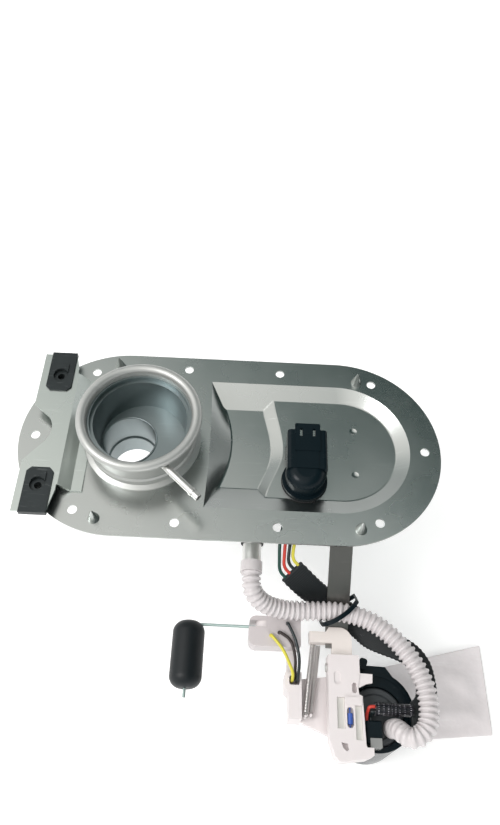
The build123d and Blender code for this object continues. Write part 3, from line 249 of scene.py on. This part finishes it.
def buildScuffsAndSheen():
    group, start, end = buildGroup("scuffsAndSheen", {"Scale": 60.0, "Amount": 0.5}, ["Mask"])
    nodes, links = group.nodes, group.links
    place = nodes.new("ShaderNodeTexCoord")
    stretch = nodes.new("ShaderNodeMapping")
    stretch.inputs["Scale"].default_value = (1, 9, 1)
    stretch.inputs["Rotation"].default_value = (0, 0, radians(35))
    streaks = nodes.new("ShaderNodeTexNoise")
    streaks.inputs["Detail"].default_value = 6
    streaks.inputs["Distortion"].default_value = 0.6
    narrow = nodes.new("ShaderNodeMapRange")
    narrow.inputs["From Min"].default_value = 0.60
    narrow.inputs["From Max"].default_value = 0.72
    links.new(place.outputs["Object"], stretch.inputs["Vector"])
    links.new(stretch.outputs["Vector"], streaks.inputs["Vector"])
    links.new(start.outputs["Scale"], streaks.inputs["Scale"])
    links.new(streaks.outputs["Fac"], narrow.inputs["Value"])
    mask = mathNode(nodes, links, "MULTIPLY", narrow.outputs["Result"], start.outputs["Amount"])
    links.new(mask, end.inputs["Mask"])
    return group


fineGrain = buildFineGrain()
scuffsAndSheen = buildScuffsAndSheen()


def newSurface(name):
    material = bpy.data.materials.new(name)
    material.use_nodes = True
    nodes = material.node_tree.nodes
    return material, nodes, material.node_tree.links, nodes["Principled BSDF"]


def placeGroup(nodes, group, **values):
    holder = nodes.new("ShaderNodeGroup")
    holder.node_tree = group
    for label, value in values.items():
        holder.inputs[label.replace("_", " ")].default_value = value
    return holder


def rangeOf(nodes, links, source, low, high):
    span = nodes.new("ShaderNodeMapRange")
    span.inputs["From Min"].default_value = 0.3
    span.inputs["From Max"].default_value = 0.7
    span.inputs["To Min"].default_value = low
    span.inputs["To Max"].default_value = high
    links.new(source, span.inputs["Value"])
    return span.outputs["Result"]


def bumped(nodes, links, height, strength, distance):
    bump = nodes.new("ShaderNodeBump")
    bump.inputs["Strength"].default_value = strength
    bump.inputs["Distance"].default_value = distance * mm
    links.new(height, bump.inputs["Height"])
    return bump.outputs["Normal"]


def satinSteel(name, tone, gloss, grainSize=1500.0, metal=1.0):
    material, nodes, links, shader = newSurface(name)
    grain = placeGroup(nodes, fineGrain, Scale=grainSize, Patch_Scale=14.0)
    marks = placeGroup(nodes, scuffsAndSheen, Scale=40.0, Amount=0.35)
    pale = tuple(min(1.0, channel * 1.10 + 0.01) for channel in tone)
    deep = tuple(channel * 0.92 for channel in tone)
    base = mixTones(nodes, links, grain.outputs["Patches"], deep, pale)
    base = mixTones(nodes, links, marks.outputs["Mask"], base, tuple(min(1.0, c * 1.25) for c in tone))
    links.new(base, shader.inputs["Base Color"])
    rough = rangeOf(nodes, links, grain.outputs["Patches"], gloss - 0.04, gloss + 0.05)
    links.new(rough, shader.inputs["Roughness"])
    surface = bumped(nodes, links, grain.outputs["Grain"], 0.30, 0.05)
    links.new(surface, shader.inputs["Normal"])
    shader.inputs["Metallic"].default_value = metal
    return material


def moulded(name, tone, gloss, clear=0.0, sink=0.0, shine=0.5):
    material, nodes, links, shader = newSurface(name)
    grain = placeGroup(nodes, fineGrain, Scale=1100.0, Patch_Scale=45.0)
    base = mixTones(nodes, links, grain.outputs["Patches"], tuple(c * 0.93 for c in tone), tone)
    links.new(base, shader.inputs["Base Color"])
    rough = rangeOf(nodes, links, grain.outputs["Patches"], gloss - 0.06, gloss + 0.06)
    links.new(rough, shader.inputs["Roughness"])
    links.new(bumped(nodes, links, grain.outputs["Grain"], 0.18, 0.04), shader.inputs["Normal"])
    shader.inputs["Transmission Weight"].default_value = clear
    shader.inputs["Specular IOR Level"].default_value = shine
    shader.inputs["Subsurface Weight"].default_value = sink
    shader.inputs["Subsurface Radius"].default_value = (0.004, 0.004, 0.004)
    shader.inputs["Subsurface Scale"].default_value = 0.5
    return material


def blackOxide():
    material, nodes, links, shader = newSurface("blackOxide")
    grain = placeGroup(nodes, fineGrain, Scale=1300.0, Patch_Scale=60.0)
    marks = placeGroup(nodes, scuffsAndSheen, Scale=90.0, Amount=0.5)
    base = mixTones(nodes, links, grain.outputs["Patches"], (0.012, 0.016, 0.017), (0.030, 0.038, 0.040))
    base = mixTones(nodes, links, marks.outputs["Mask"], base, (0.12, 0.13, 0.13))
    links.new(base, shader.inputs["Base Color"])
    links.new(rangeOf(nodes, links, grain.outputs["Patches"], 0.34, 0.48), shader.inputs["Roughness"])
    links.new(bumped(nodes, links, grain.outputs["Grain"], 0.25, 0.05), shader.inputs["Normal"])
    shader.inputs["Metallic"].default_value = 0.4
    return material


def drawnWire(name, tone, gloss):
    material, nodes, links, shader = newSurface(name)
    grain = placeGroup(nodes, fineGrain, Scale=2200.0, Patch_Scale=120.0)
    base = mixTones(nodes, links, grain.outputs["Patches"], tuple(c * 0.85 for c in tone), tone)
    links.new(base, shader.inputs["Base Color"])
    rough = rangeOf(nodes, links, grain.outputs["Patches"], gloss - 0.05, gloss + 0.08)
    links.new(rough, shader.inputs["Roughness"])
    links.new(bumped(nodes, links, grain.outputs["Grain"], 0.12, 0.03), shader.inputs["Normal"])
    shader.inputs["Metallic"].default_value = 1.0
    return material


def softRubber(name, tone, gloss, pore=700.0):
    material, nodes, links, shader = newSurface(name)
    shader.inputs["Specular IOR Level"].default_value = 0.3
    grain = placeGroup(nodes, fineGrain, Scale=pore, Patch_Scale=40.0)
    base = mixTones(nodes, links, grain.outputs["Patches"], tuple(c * 0.75 for c in tone), tone)
    links.new(base, shader.inputs["Base Color"])
    rough = rangeOf(nodes, links, grain.outputs["Patches"], gloss - 0.05, gloss + 0.06)
    links.new(rough, shader.inputs["Roughness"])
    links.new(bumped(nodes, links, grain.outputs["Grain"], 0.35, 0.08), shader.inputs["Normal"])
    return material


def insulation(name, tone):
    material, nodes, links, shader = newSurface(name)
    grain = placeGroup(nodes, fineGrain, Scale=1800.0, Patch_Scale=90.0)
    base = mixTones(nodes, links, grain.outputs["Patches"], tuple(c * 0.86 for c in tone), tone)
    links.new(base, shader.inputs["Base Color"])
    links.new(rangeOf(nodes, links, grain.outputs["Patches"], 0.28, 0.42), shader.inputs["Roughness"])
    links.new(bumped(nodes, links, grain.outputs["Grain"], 0.10, 0.03), shader.inputs["Normal"])
    return material


def braid(name, tone, gleam, turns, bands, glint):
    # two crossed waves over the piece's own layout, darker where they are low as painted shade between the
    # threads, with painted glints where both are high
    material, nodes, links, shader = newSurface(name)
    layout = nodes.new("ShaderNodeUVMap")
    layout.uv_map = "UVMap"
    split = nodes.new("ShaderNodeSeparateXYZ")
    links.new(layout.outputs["UV"], split.inputs[0])
    waves = []
    for way in (1, -1):
        along = mathNode(nodes, links, "MULTIPLY", split.outputs["X"], bands)
        around = mathNode(nodes, links, "MULTIPLY", split.outputs["Y"], turns * way)
        total = mathNode(nodes, links, "ADD", along, around)
        angle = mathNode(nodes, links, "MULTIPLY", total, 2 * pi)
        waves.append(mathNode(nodes, links, "SINE", angle))
    weave = mathNode(nodes, links, "MULTIPLY", *waves)
    level = nodes.new("ShaderNodeMapRange")
    level.inputs["From Min"].default_value = -1
    links.new(weave, level.inputs["Value"])
    # painted shade: the weave's low parts darkened to 35 percent of the tone
    base = mixTones(nodes, links, level.outputs["Result"], tuple(c * 0.35 for c in tone), tone)
    paintedGlint = nodes.new("ShaderNodeMapRange")
    paintedGlint.inputs["From Min"].default_value = 1.0 - glint
    links.new(level.outputs["Result"], paintedGlint.inputs["Value"])
    grain = placeGroup(nodes, fineGrain, Scale=900.0, Patch_Scale=420.0)
    glintBreaks = rangeOf(nodes, links, grain.outputs["Patches"], -0.4, 1.4)
    brokenGlint = mathNode(nodes, links, "MULTIPLY", paintedGlint.outputs["Result"], glintBreaks)
    brokenGlint.node.use_clamp = True
    # painted glints: a pale colour where the weave is highest, broken up by patches
    base = mixTones(nodes, links, brokenGlint, base, (0.62, 0.60, 0.66))
    links.new(base, shader.inputs["Base Color"])
    links.new(rangeOf(nodes, links, level.outputs["Result"], gleam + 0.15, gleam), shader.inputs["Roughness"])
    links.new(bumped(nodes, links, level.outputs["Result"], 0.5, 0.18), shader.inputs["Normal"])
    return material


def sockMesh():
    material, nodes, links, shader = newSurface("sockMesh")
    grain = placeGroup(nodes, fineGrain, Scale=900.0, Patch_Scale=34.0)
    # painted highlight: lighter streaks along the sock's folds; on the steels the same streaks are rubbed
    # wear
    paintedFoldSheen = placeGroup(nodes, scuffsAndSheen, Scale=26.0, Amount=1.0)
    base = mixTones(nodes, links, grain.outputs["Patches"], (0.86, 0.81, 0.82), (0.99, 0.94, 0.955))
    base = mixTones(nodes, links, paintedFoldSheen.outputs["Mask"], base, (0.97, 0.94, 0.95))
    links.new(base, shader.inputs["Base Color"])
    links.new(bumped(nodes, links, grain.outputs["Patches"], 0.8, 1.6), shader.inputs["Normal"])
    links.new(rangeOf(nodes, links, grain.outputs["Patches"], 0.42, 0.55), shader.inputs["Roughness"])
    links.new(rangeOf(nodes, links, grain.outputs["Patches"], 0.88, 0.68), shader.inputs["Alpha"])
    return material


def pleatedPaper():
    material, nodes, links, shader = newSurface("pleatedPaper")
    grain = placeGroup(nodes, fineGrain, Scale=600.0, Patch_Scale=30.0)
    base = mixTones(nodes, links, grain.outputs["Grain"], (0.62, 0.52, 0.34), (0.80, 0.71, 0.52))
    links.new(base, shader.inputs["Base Color"])
    links.new(bumped(nodes, links, grain.outputs["Grain"], 0.4, 0.1), shader.inputs["Normal"])
    shader.inputs["Roughness"].default_value = 0.85
    return material


finishes = {
    "plateSteel": satinSteel("plateSteel", (0.47, 0.495, 0.48), 0.27),
    "bracketSteel": satinSteel("bracketSteel", (0.50, 0.545, 0.52), 0.27),
    "strapSteel": satinSteel("strapSteel", (0.22, 0.215, 0.205), 0.36),
    "neckSteel": satinSteel("neckSteel", (0.46, 0.47, 0.455), 0.44, 1100.0, metal=0.62),
    # a darker copy of the neck's steel: painted shade for the inside of the cup and the filler tube
    "cupSteelPaintedShade": satinSteel("cupSteelPaintedShade", (0.26, 0.30, 0.305), 0.36, 1100.0),
    "pipeSteel": drawnWire("pipeSteel", (0.70, 0.70, 0.68), 0.42),
    "armWire": drawnWire("armWire", (0.42, 0.52, 0.50), 0.60),
    "springSteel": drawnWire("springSteel", (0.78, 0.76, 0.75), 0.34),
    "tinPlate": drawnWire("tinPlate", (0.92, 0.90, 0.86), 0.52),
    "motorSteel": drawnWire("motorSteel", (0.58, 0.59, 0.60), 0.30),
    "ferrite": drawnWire("ferrite", (0.10, 0.10, 0.11), 0.55),
    "blackOxide": blackOxide(),
    "blackMould": moulded("blackMould", (0.004, 0.009, 0.012), 0.24, shine=0.15),
    "greyMould": moulded("greyMould", (0.040, 0.046, 0.050), 0.40),
    "whiteMould": moulded("whiteMould", (0.71, 0.665, 0.665), 0.42, sink=0.12),
    "senderMould": moulded("senderMould", (0.56, 0.52, 0.525), 0.42, sink=0.15),
    "creamMould": moulded("creamMould", (0.78, 0.725, 0.69), 0.46, sink=0.10),
    "greyClear": moulded("greyClear", (0.42, 0.43, 0.42), 0.25, clear=0.45),
    "blueBead": moulded("blueBead", (0.05, 0.11, 0.40), 0.22),
    "hoseNylon": moulded("hoseNylon", (0.57, 0.54, 0.545), 0.30, sink=0.25),
    "sealRubber": softRubber("sealRubber", (0.018, 0.019, 0.020), 0.60),
    "floatFoam": softRubber("floatFoam", (0.006, 0.009, 0.011), 0.44, 1400.0),
    "paper": pleatedPaper(),
    "sockMesh": sockMesh(),
    "leadGreen": insulation("leadGreen", (0.010, 0.060, 0.045)),
    "leadRed": insulation("leadRed", (0.55, 0.045, 0.030)),
    "leadBlack": insulation("leadBlack", (0.010, 0.018, 0.020)),
    "leadYellow": insulation("leadYellow", (0.62, 0.56, 0.06)),
    "leadBrown": insulation("leadBrown", (0.028, 0.020, 0.018)),
    "flatBraid": braid("flatBraid", (0.008, 0.012, 0.014), 0.55, 12, 90, 0.001),
    "roundBraid": braid("roundBraid", (0.010, 0.011, 0.016), 0.16, 9, 4, 0.14),
}
worn = {
    "plateSteel": ["top_plate"],
    "bracketSteel": ["console_bracket"],
    "strapSteel": ["hanger_strap"],
    "neckSteel": ["filler_neck"],
    "cupSteelPaintedShade": ["neck_cup", "filler_tube"],
    "pipeSteel": ["vent_tube", "outlet_tube", "hinge_pin"],
    "armWire": ["float_arm"],
    "springSteel": ["spring_left", "spring_right"],
    "tinPlate": ["connector_terminals", "contact_strips"],
    "motorSteel": ["pump_shell", "pump_armature"],
    "ferrite": ["pump_magnets", "pump_brushes"],
    "blackOxide": ["spring_nut_far", "spring_nut_near"],
    "blackMould": ["connector_housing", "filter_housing", "filter_cap", "pump_inlet_cap", "pump_impeller",
                   "cable_tie", "pump_plug"],
    "greyMould": ["pump_end_cap"],
    "whiteMould": ["carrier_frame", "strainer_collar", "wiper_hub"],
    "senderMould": ["sender_case"],
    "creamMould": ["carrier_arm", "resistor_card"],
    "greyClear": ["plug_clip"],
    "blueBead": ["thermistor"],
    "hoseNylon": ["fuel_hose", "hose_cuff"],
    "sealRubber": ["connector_seal", "outlet_ring"],
    "floatFoam": ["float"],
    "paper": ["filter_element"],
    "sockMesh": ["strainer_sock"],
    "leadGreen": ["wire_green"],
    "leadRed": ["wire_red", "pump_wire_red"],
    "leadBlack": ["wire_black", "sender_wire_black", "pump_wire_black"],
    "leadYellow": ["wire_yellow", "sender_wire_yellow"],
    "leadBrown": ["sender_wire_brown"],
    "flatBraid": ["loom_sleeve"],
    "roundBraid": ["braided_loom"],
}
for finishName, pieceNames in worn.items():
    for pieceName in pieceNames:
        for holder in cadNodes[pieceName].material_slots:
            holder.material = finishes[finishName]
print("finishes ready:", len(finishes))


def clearSelection():
    if bpy.context.object and bpy.context.object.mode != "OBJECT":
        bpy.ops.object.mode_set(mode="OBJECT")
    bpy.ops.object.select_all(action="DESELECT")


def choose(piece):
    clearSelection()
    piece.select_set(True)
    bpy.context.view_layer.objects.active = piece


def applyModifiers(piece):
    choose(piece)
    for modifier in list(piece.modifiers):
        bpy.ops.object.modifier_apply(modifier=modifier.name)


def faceOutwards():
    # of the chosen piece
    bpy.ops.object.mode_set(mode="EDIT")
    bpy.ops.mesh.select_all(action="SELECT")
    bpy.ops.mesh.normals_make_consistent(inside=False)
    bpy.ops.object.mode_set(mode="OBJECT")


def joinInto(piece, others):
    choose(piece)
    for other in others:
        other.select_set(True)
    bpy.ops.object.join()


def settle(piece, name, finish):
    # the finished piece: transforms in its mesh, one name, one finish
    choose(piece)
    bpy.ops.object.transform_apply(location=True, rotation=True, scale=True)
    piece.name = name
    piece.data.materials.clear()
    piece.data.materials.append(finishes[finish])
    return piece


def smoothCurve(name, points):
    # a NURBS line through space, its points in millimetres
    line = bpy.data.curves.new(name, "CURVE")
    line.dimensions = "3D"
    line.twist_mode = "MINIMUM"
    line.resolution_u = 12
    spline = line.splines.new("NURBS")
    spline.points.add(len(points) - 1)
    for point, place in zip(spline.points, points):
        point.co = (*scaled(place), 1)
    spline.order_u = 3
    spline.use_endpoint_u = True
    holder = bpy.data.objects.new(name, line)
    scene.collection.objects.link(holder)
    return holder


def readLine(name, points):
    # points along the smooth curve, read back from it
    holder = smoothCurve(name, points)
    flat = bpy.data.meshes.new_from_object(holder)
    places = [vertex.co.copy() for vertex in flat.vertices]
    bpy.data.meshes.remove(flat)
    bpy.data.objects.remove(holder)
    return places


hoseRoute = {
    "points": [
        (18.1, -84.0, -20.5), (18.1, -93.0, -20.5), (20.6, -99.2, -25.2), (29.0, -103.4, -32.6),
        (42.0, -104.4, -38.2), (59.0, -103.4, -40.4), (80.0, -102.4, -40.6), (102.0, -108.2, -41.0),
        (120.0, -123.5, -41.0), (132.0, -143.5, -41.0), (134.6, -160.0, -41.0), (132.6, -173.5, -41.0),
        (125.8, -179.6, -41.4), (119.6, -179.8, -42.6), (116.4, -175.6, -46.4), (114.6, -172.2, -53.0),
        (114.2, -171.5, -62.8),
    ],
    "pitch": 3.7,
    "valley": 5.15,
    "crest": 6.5,
    "crown": 0.06,  # how far a crest's middle stands over its shoulders
    "sides": 36,
    "wall": 0.8,
    "calm": 34.0,  # length by the nipple where the ribs fade
    "calmRamp": 1.6,  # above 1, they are at their lowest before the end
    "calmShare": 0.62,  # of a rib's height, lost there
}


def makeHose():
    # one rib is drawn out ring by ring, repeated along the route and bent to it
    pitch, valley, crest = hoseRoute["pitch"], hoseRoute["valley"], hoseRoute["crest"]
    clearSelection()
    bpy.ops.mesh.primitive_circle_add(
        vertices=hoseRoute["sides"], radius=valley * mm, location=(0, 0, 0), rotation=(0, radians(90), 0)
    )
    hose = bpy.context.object
    bpy.ops.object.transform_apply(location=False, rotation=True, scale=False)
    bpy.ops.object.mode_set(mode="EDIT")
    bpy.ops.mesh.select_all(action="SELECT")
    slope = (valley + crest) / 2
    profile = [
        (0.22, valley), (0.34, slope), (0.46, crest), (0.60, crest + hoseRoute["crown"]), (0.74, crest),
        (0.86, slope), (1.0, valley),
    ]
    reach, size = 0.0, valley
    for share, radius in profile:
        step = (share * pitch - reach) * mm
        bpy.ops.mesh.extrude_region_move(TRANSFORM_OT_translate={"value": (step, 0, 0)})
        grow = radius / size
        reach, size = share * pitch, radius
        bpy.ops.transform.resize(value=(1, grow, grow), center_override=(reach * mm, 0, 0))
    bpy.ops.object.mode_set(mode="OBJECT")
    line = smoothCurve("hoseLine", hoseRoute["points"])
    repeat = hose.modifiers.new("ribs", "ARRAY")
    repeat.fit_type = "FIT_CURVE"
    repeat.curve = line
    repeat.use_merge_vertices = True
    repeat.merge_threshold = 0.05 * mm
    applyModifiers(hose)
    faceOutwards()
    reach = max(vertex.co.x for vertex in hose.data.vertices)
    for vertex in hose.data.vertices:
        nearness = max(0.0, (vertex.co.x - reach) / (hoseRoute["calm"] * mm) + 1)
        fade = min(1.0, nearness * hoseRoute["calmRamp"])
        around = Vector((0, vertex.co.y, vertex.co.z))
        aim = around.normalized() * slope * mm
        vertex.co += (aim - around) * hoseRoute["calmShare"] * fade
    bend = hose.modifiers.new("route", "CURVE")
    bend.object = line
    bend.deform_axis = "POS_X"
    wall = hose.modifiers.new("wall", "SOLIDIFY")
    wall.thickness = hoseRoute["wall"] * mm
    wall.offset = -1
    applyModifiers(hose)
    bpy.ops.object.shade_smooth()
    bpy.data.objects.remove(line)
    settle(hose, "ribbedHose", "hoseNylon")
    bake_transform(hose)
    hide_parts("fuel_hose")


makeHose()
print("hose ready")


springs = {
    "coilR": 2.0,
    "wireR": 0.42,
    "pitch": 0.9,
    "gap": 2.0,  # from the peg to the first coil
    "loopR": 1.62,
    "loopWireR": 0.28,
    "loopInset": 0.42,  # from the peg's point to the loop's middle
    "runs": {
        "spring_left": ((63.0, -118.6, -61.0), (57.6, -166.4, -61.0)),
        "spring_right": ((67.0, -118.2, -65.3), (61.2, -165.6, -65.3)),
    },
}


def makeSpring(nodeName, start, end):
    # the wire's round end is spun into a close coil; a loop goes on each end
    top, low = Vector(start), Vector(end)
    run = low - top
    length = run.length - 2 * springs["gap"]
    turns = int(length / springs["pitch"])
    along = run.normalized()
    clearSelection()
    bpy.ops.mesh.primitive_circle_add(
        vertices=8, radius=springs["wireR"] * mm, location=((springs["coilR"] - springs["wireR"]) * mm, 0, 0),
        rotation=(radians(90), 0, 0)
    )
    coil = bpy.context.object
    bpy.ops.object.transform_apply(location=True, rotation=True, scale=False)
    spin = coil.modifiers.new("coil", "SCREW")
    spin.axis = "Z"
    spin.screw_offset = length / turns * mm
    spin.iterations = turns
    spin.steps = 16
    spin.render_steps = 16
    spin.use_merge_vertices = True
    spin.merge_threshold = 0.01 * mm
    applyModifiers(coil)
    bpy.ops.object.mode_set(mode="EDIT")
    bpy.ops.mesh.select_all(action="SELECT")
    bpy.ops.mesh.fill_holes(sides=8)
    bpy.ops.object.mode_set(mode="OBJECT")
    coil.rotation_mode = "QUATERNION"
    coil.rotation_quaternion = along.to_track_quat("Z", "Y")
    coil.location = (top + along * springs["gap"]) * mm
    choose(coil)
    bpy.ops.object.transform_apply(location=True, rotation=True, scale=True)
    loops = []
    for peg, way in ((top, 1), (low, -1)):
        clearSelection()
        bpy.ops.mesh.primitive_torus_add(
            location=scaled(peg + along * way * springs["loopInset"]), major_radius=springs["loopR"] * mm,
            minor_radius=springs["loopWireR"] * mm, major_segments=28, minor_segments=8
        )
        loops.append(bpy.context.object)
    joinInto(coil, loops)
    faceOutwards()
    bpy.ops.object.shade_smooth()
    settle(coil, "coil" + nodeName.removeprefix("spring_").title(), "springSteel")
    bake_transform(coil)
    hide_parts(nodeName)


for springNode, (springTop, springEnd) in springs["runs"].items():
    makeSpring(springNode, springTop, springEnd)
print("springs ready")


flatSleeve = {
    "thick": 3.6,
    "across": 8,
    "teeth": 0.045,  # the woven edge stands out by this share of the width
    "toothEvery": 3,  # stations
    # the sleeve's two edges, station by station
    "left": [
        (39.2, -86.1, -30.8), (46.8, -90.6, -38.4), (56.8, -93.7, -49.2), (66.0, -97.0, -55.8),
        (76.1, -101.0, -61.2), (83.2, -107.4, -63.8), (89.8, -110.6, -65.0), (98.2, -118.8, -65.3),
        (108.2, -123.6, -63.0), (120.9, -128.5, -60.0), (128.3, -133.8, -57.5), (130.3, -142.6, -56.0),
        (130.4, -149.8, -55.0), (128.4, -154.6, -54.2), (124.8, -156.6, -53.6),
    ],
    "right": [
        (51.6, -75.0, -24.0), (60.4, -79.8, -33.2), (71.0, -85.7, -41.8), (79.0, -88.6, -46.6),
        (85.3, -90.6, -50.8), (94.0, -94.8, -54.0), (100.4, -98.6, -56.2), (110.6, -106.4, -57.6),
        (119.6, -111.2, -57.6), (132.9, -117.4, -56.0), (141.7, -128.8, -56.2), (143.8, -141.4, -56.0),
        (143.7, -152.4, -55.0), (137.6, -165.4, -54.2), (124.8, -171.4, -53.6),
    ],
}


def makeSleeve():
    # a band between two smooth edges, given its thickness and rounded
    left = readLine("sleeveLeft", flatSleeve["left"])
    right = readLine("sleeveRight", flatSleeve["right"])
    stations = min(len(left), len(right)) - 1
    clearSelection()
    bpy.ops.mesh.primitive_grid_add(
        x_subdivisions=stations, y_subdivisions=flatSleeve["across"], size=2, location=(0, 0, 0)
    )
    sleeve = bpy.context.object
    for vertex in sleeve.data.vertices:
        station = round((vertex.co.x + 1) / 2 * stations)
        share = (vertex.co.y + 1) / 2
        if station % flatSleeve["toothEvery"] == 0:
            share += flatSleeve["teeth"] * (round(share) * 2 - 1) * (abs(share - 0.5) > 0.49)
        vertex.co = left[station].lerp(right[station], share)
    choose(sleeve)
    faceOutwards()
    wall = sleeve.modifiers.new("wall", "SOLIDIFY")
    wall.thickness = flatSleeve["thick"] * mm
    wall.offset = 0
    soft = sleeve.modifiers.new("soft", "SUBSURF")
    soft.levels = 2
    soft.render_levels = 2
    applyModifiers(sleeve)
    bpy.ops.object.shade_smooth()
    settle(sleeve, "flatSleeve", "flatBraid")
    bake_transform(sleeve)
    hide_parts("loom_sleeve")


makeSleeve()
print("sleeve ready")


pumpLoom = {
    "points": [
        (126.5, -161.6, -53.6), (117.5, -161.8, -53.2), (109.5, -161.4, -53.0), (101.9, -161.4, -53.0),
    ],
    "radius": 4.1,
    "roundness": 6,
}


def makeLoom():
    # a plain tube over the pump's leads; its weave is in the finish alone
    line = smoothCurve("pumpLoom", pumpLoom["points"])
    line.data.bevel_depth = pumpLoom["radius"] * mm
    line.data.bevel_resolution = pumpLoom["roundness"]
    line.data.use_fill_caps = True
    choose(line)
    bpy.ops.object.convert(target="MESH")
    loom = bpy.context.object
    bpy.ops.object.shade_smooth()
    settle(loom, "openBraid", "roundBraid")
    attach(loom, "carrier")
    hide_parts("braided_loom")


makeLoom()
print("loom ready")


sock = {
    "corners": [(93.0, -124.5), (201.2, -96.5), (202.0, -163.0), (94.0, -173.0)],
    "middle": -126.2,
    "crown": 4.0,
    "weld": 5.0,  # welded edge's width
    "cloth": 0.15,  # from the middle to each layer along the weld
    "cuts": (44, 30),
    "along": 108,  # from seam to seam
    "back": 52,  # the seam-to-seam depth, as the far edge and the near one count it
    "front": 62,
    "shoulder": 14.0,  # from the weld to the full crown
    "slack": 0.45,
    "crease": 0.9,
    "ruffle": 0.45,
    "underShare": 1.6,  # the lower layer lies this many rises under the upper
}


def makeSock():
    # two layers of mesh welded round the edge and blown apart in the middle, with slack wrinkles
    cutsAlong, cutsUp = sock["cuts"]
    clearSelection()
    bpy.ops.mesh.primitive_grid_add(
        x_subdivisions=cutsAlong, y_subdivisions=cutsUp, size=2, location=(0, 0, 0)
    )
    bag = bpy.context.object
    corners = [Vector((*corner, 0)) for corner in sock["corners"]]
    rises = []
    for vertex in bag.data.vertices:
        across, up = (vertex.co.x + 1) / 2, (1 - vertex.co.y) / 2
        spot = corners[0].lerp(corners[1], across).lerp(corners[3].lerp(corners[2], across), up)
        edge = min(
            across * sock["along"], (1 - across) * sock["along"], up * sock["back"], (1 - up) * sock["front"]
        )
        rise = max(0.0, min(1.0, (edge - sock["weld"]) / sock["shoulder"]))
        rise = rise * rise * (3 - 2 * rise)
        slack = noise.noise(Vector((spot.x * 0.055, spot.y * 0.055, 3.1)))
        crease = 1 - abs(noise.noise(Vector((spot.x * 0.030 + spot.y * 0.05, spot.y * 0.02, 9.4))))
        crown = rise * sock["crown"] * (0.72 + sock["slack"] * slack) - sock["crease"] * rise * crease**6
        ruffle = sock["ruffle"] * noise.noise(Vector((spot.x * 0.12, spot.y * 0.12, 6.2))) * (1 - rise)
        gap = 0.0 if edge < 0.01 else sock["cloth"]
        rises.append(max(0.0, crown) + gap)
        vertex.co = Vector((spot.x, spot.y, sock["middle"] + ruffle + rises[-1])) * mm
    choose(bag)
    bpy.ops.object.duplicate()
    under = bpy.context.object
    for rise, vertex in zip(rises, under.data.vertices):
        vertex.co.z -= rise * sock["underShare"] * mm
    joinInto(bag, [under])
    bpy.ops.object.mode_set(mode="EDIT")
    bpy.ops.mesh.select_all(action="SELECT")
    bpy.ops.mesh.remove_doubles(threshold=0.01 * mm)
    bpy.ops.mesh.normals_make_consistent(inside=False)
    bpy.ops.object.mode_set(mode="OBJECT")
    soft = bag.modifiers.new("soft", "SUBSURF")
    soft.levels = 1
    soft.render_levels = 1
    applyModifiers(bag)
    bpy.ops.object.shade_smooth()
    settle(bag, "meshSock", "sockMesh")
    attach(bag, "carrier")
    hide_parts("strainer_sock")


makeSock()
print("sock ready")
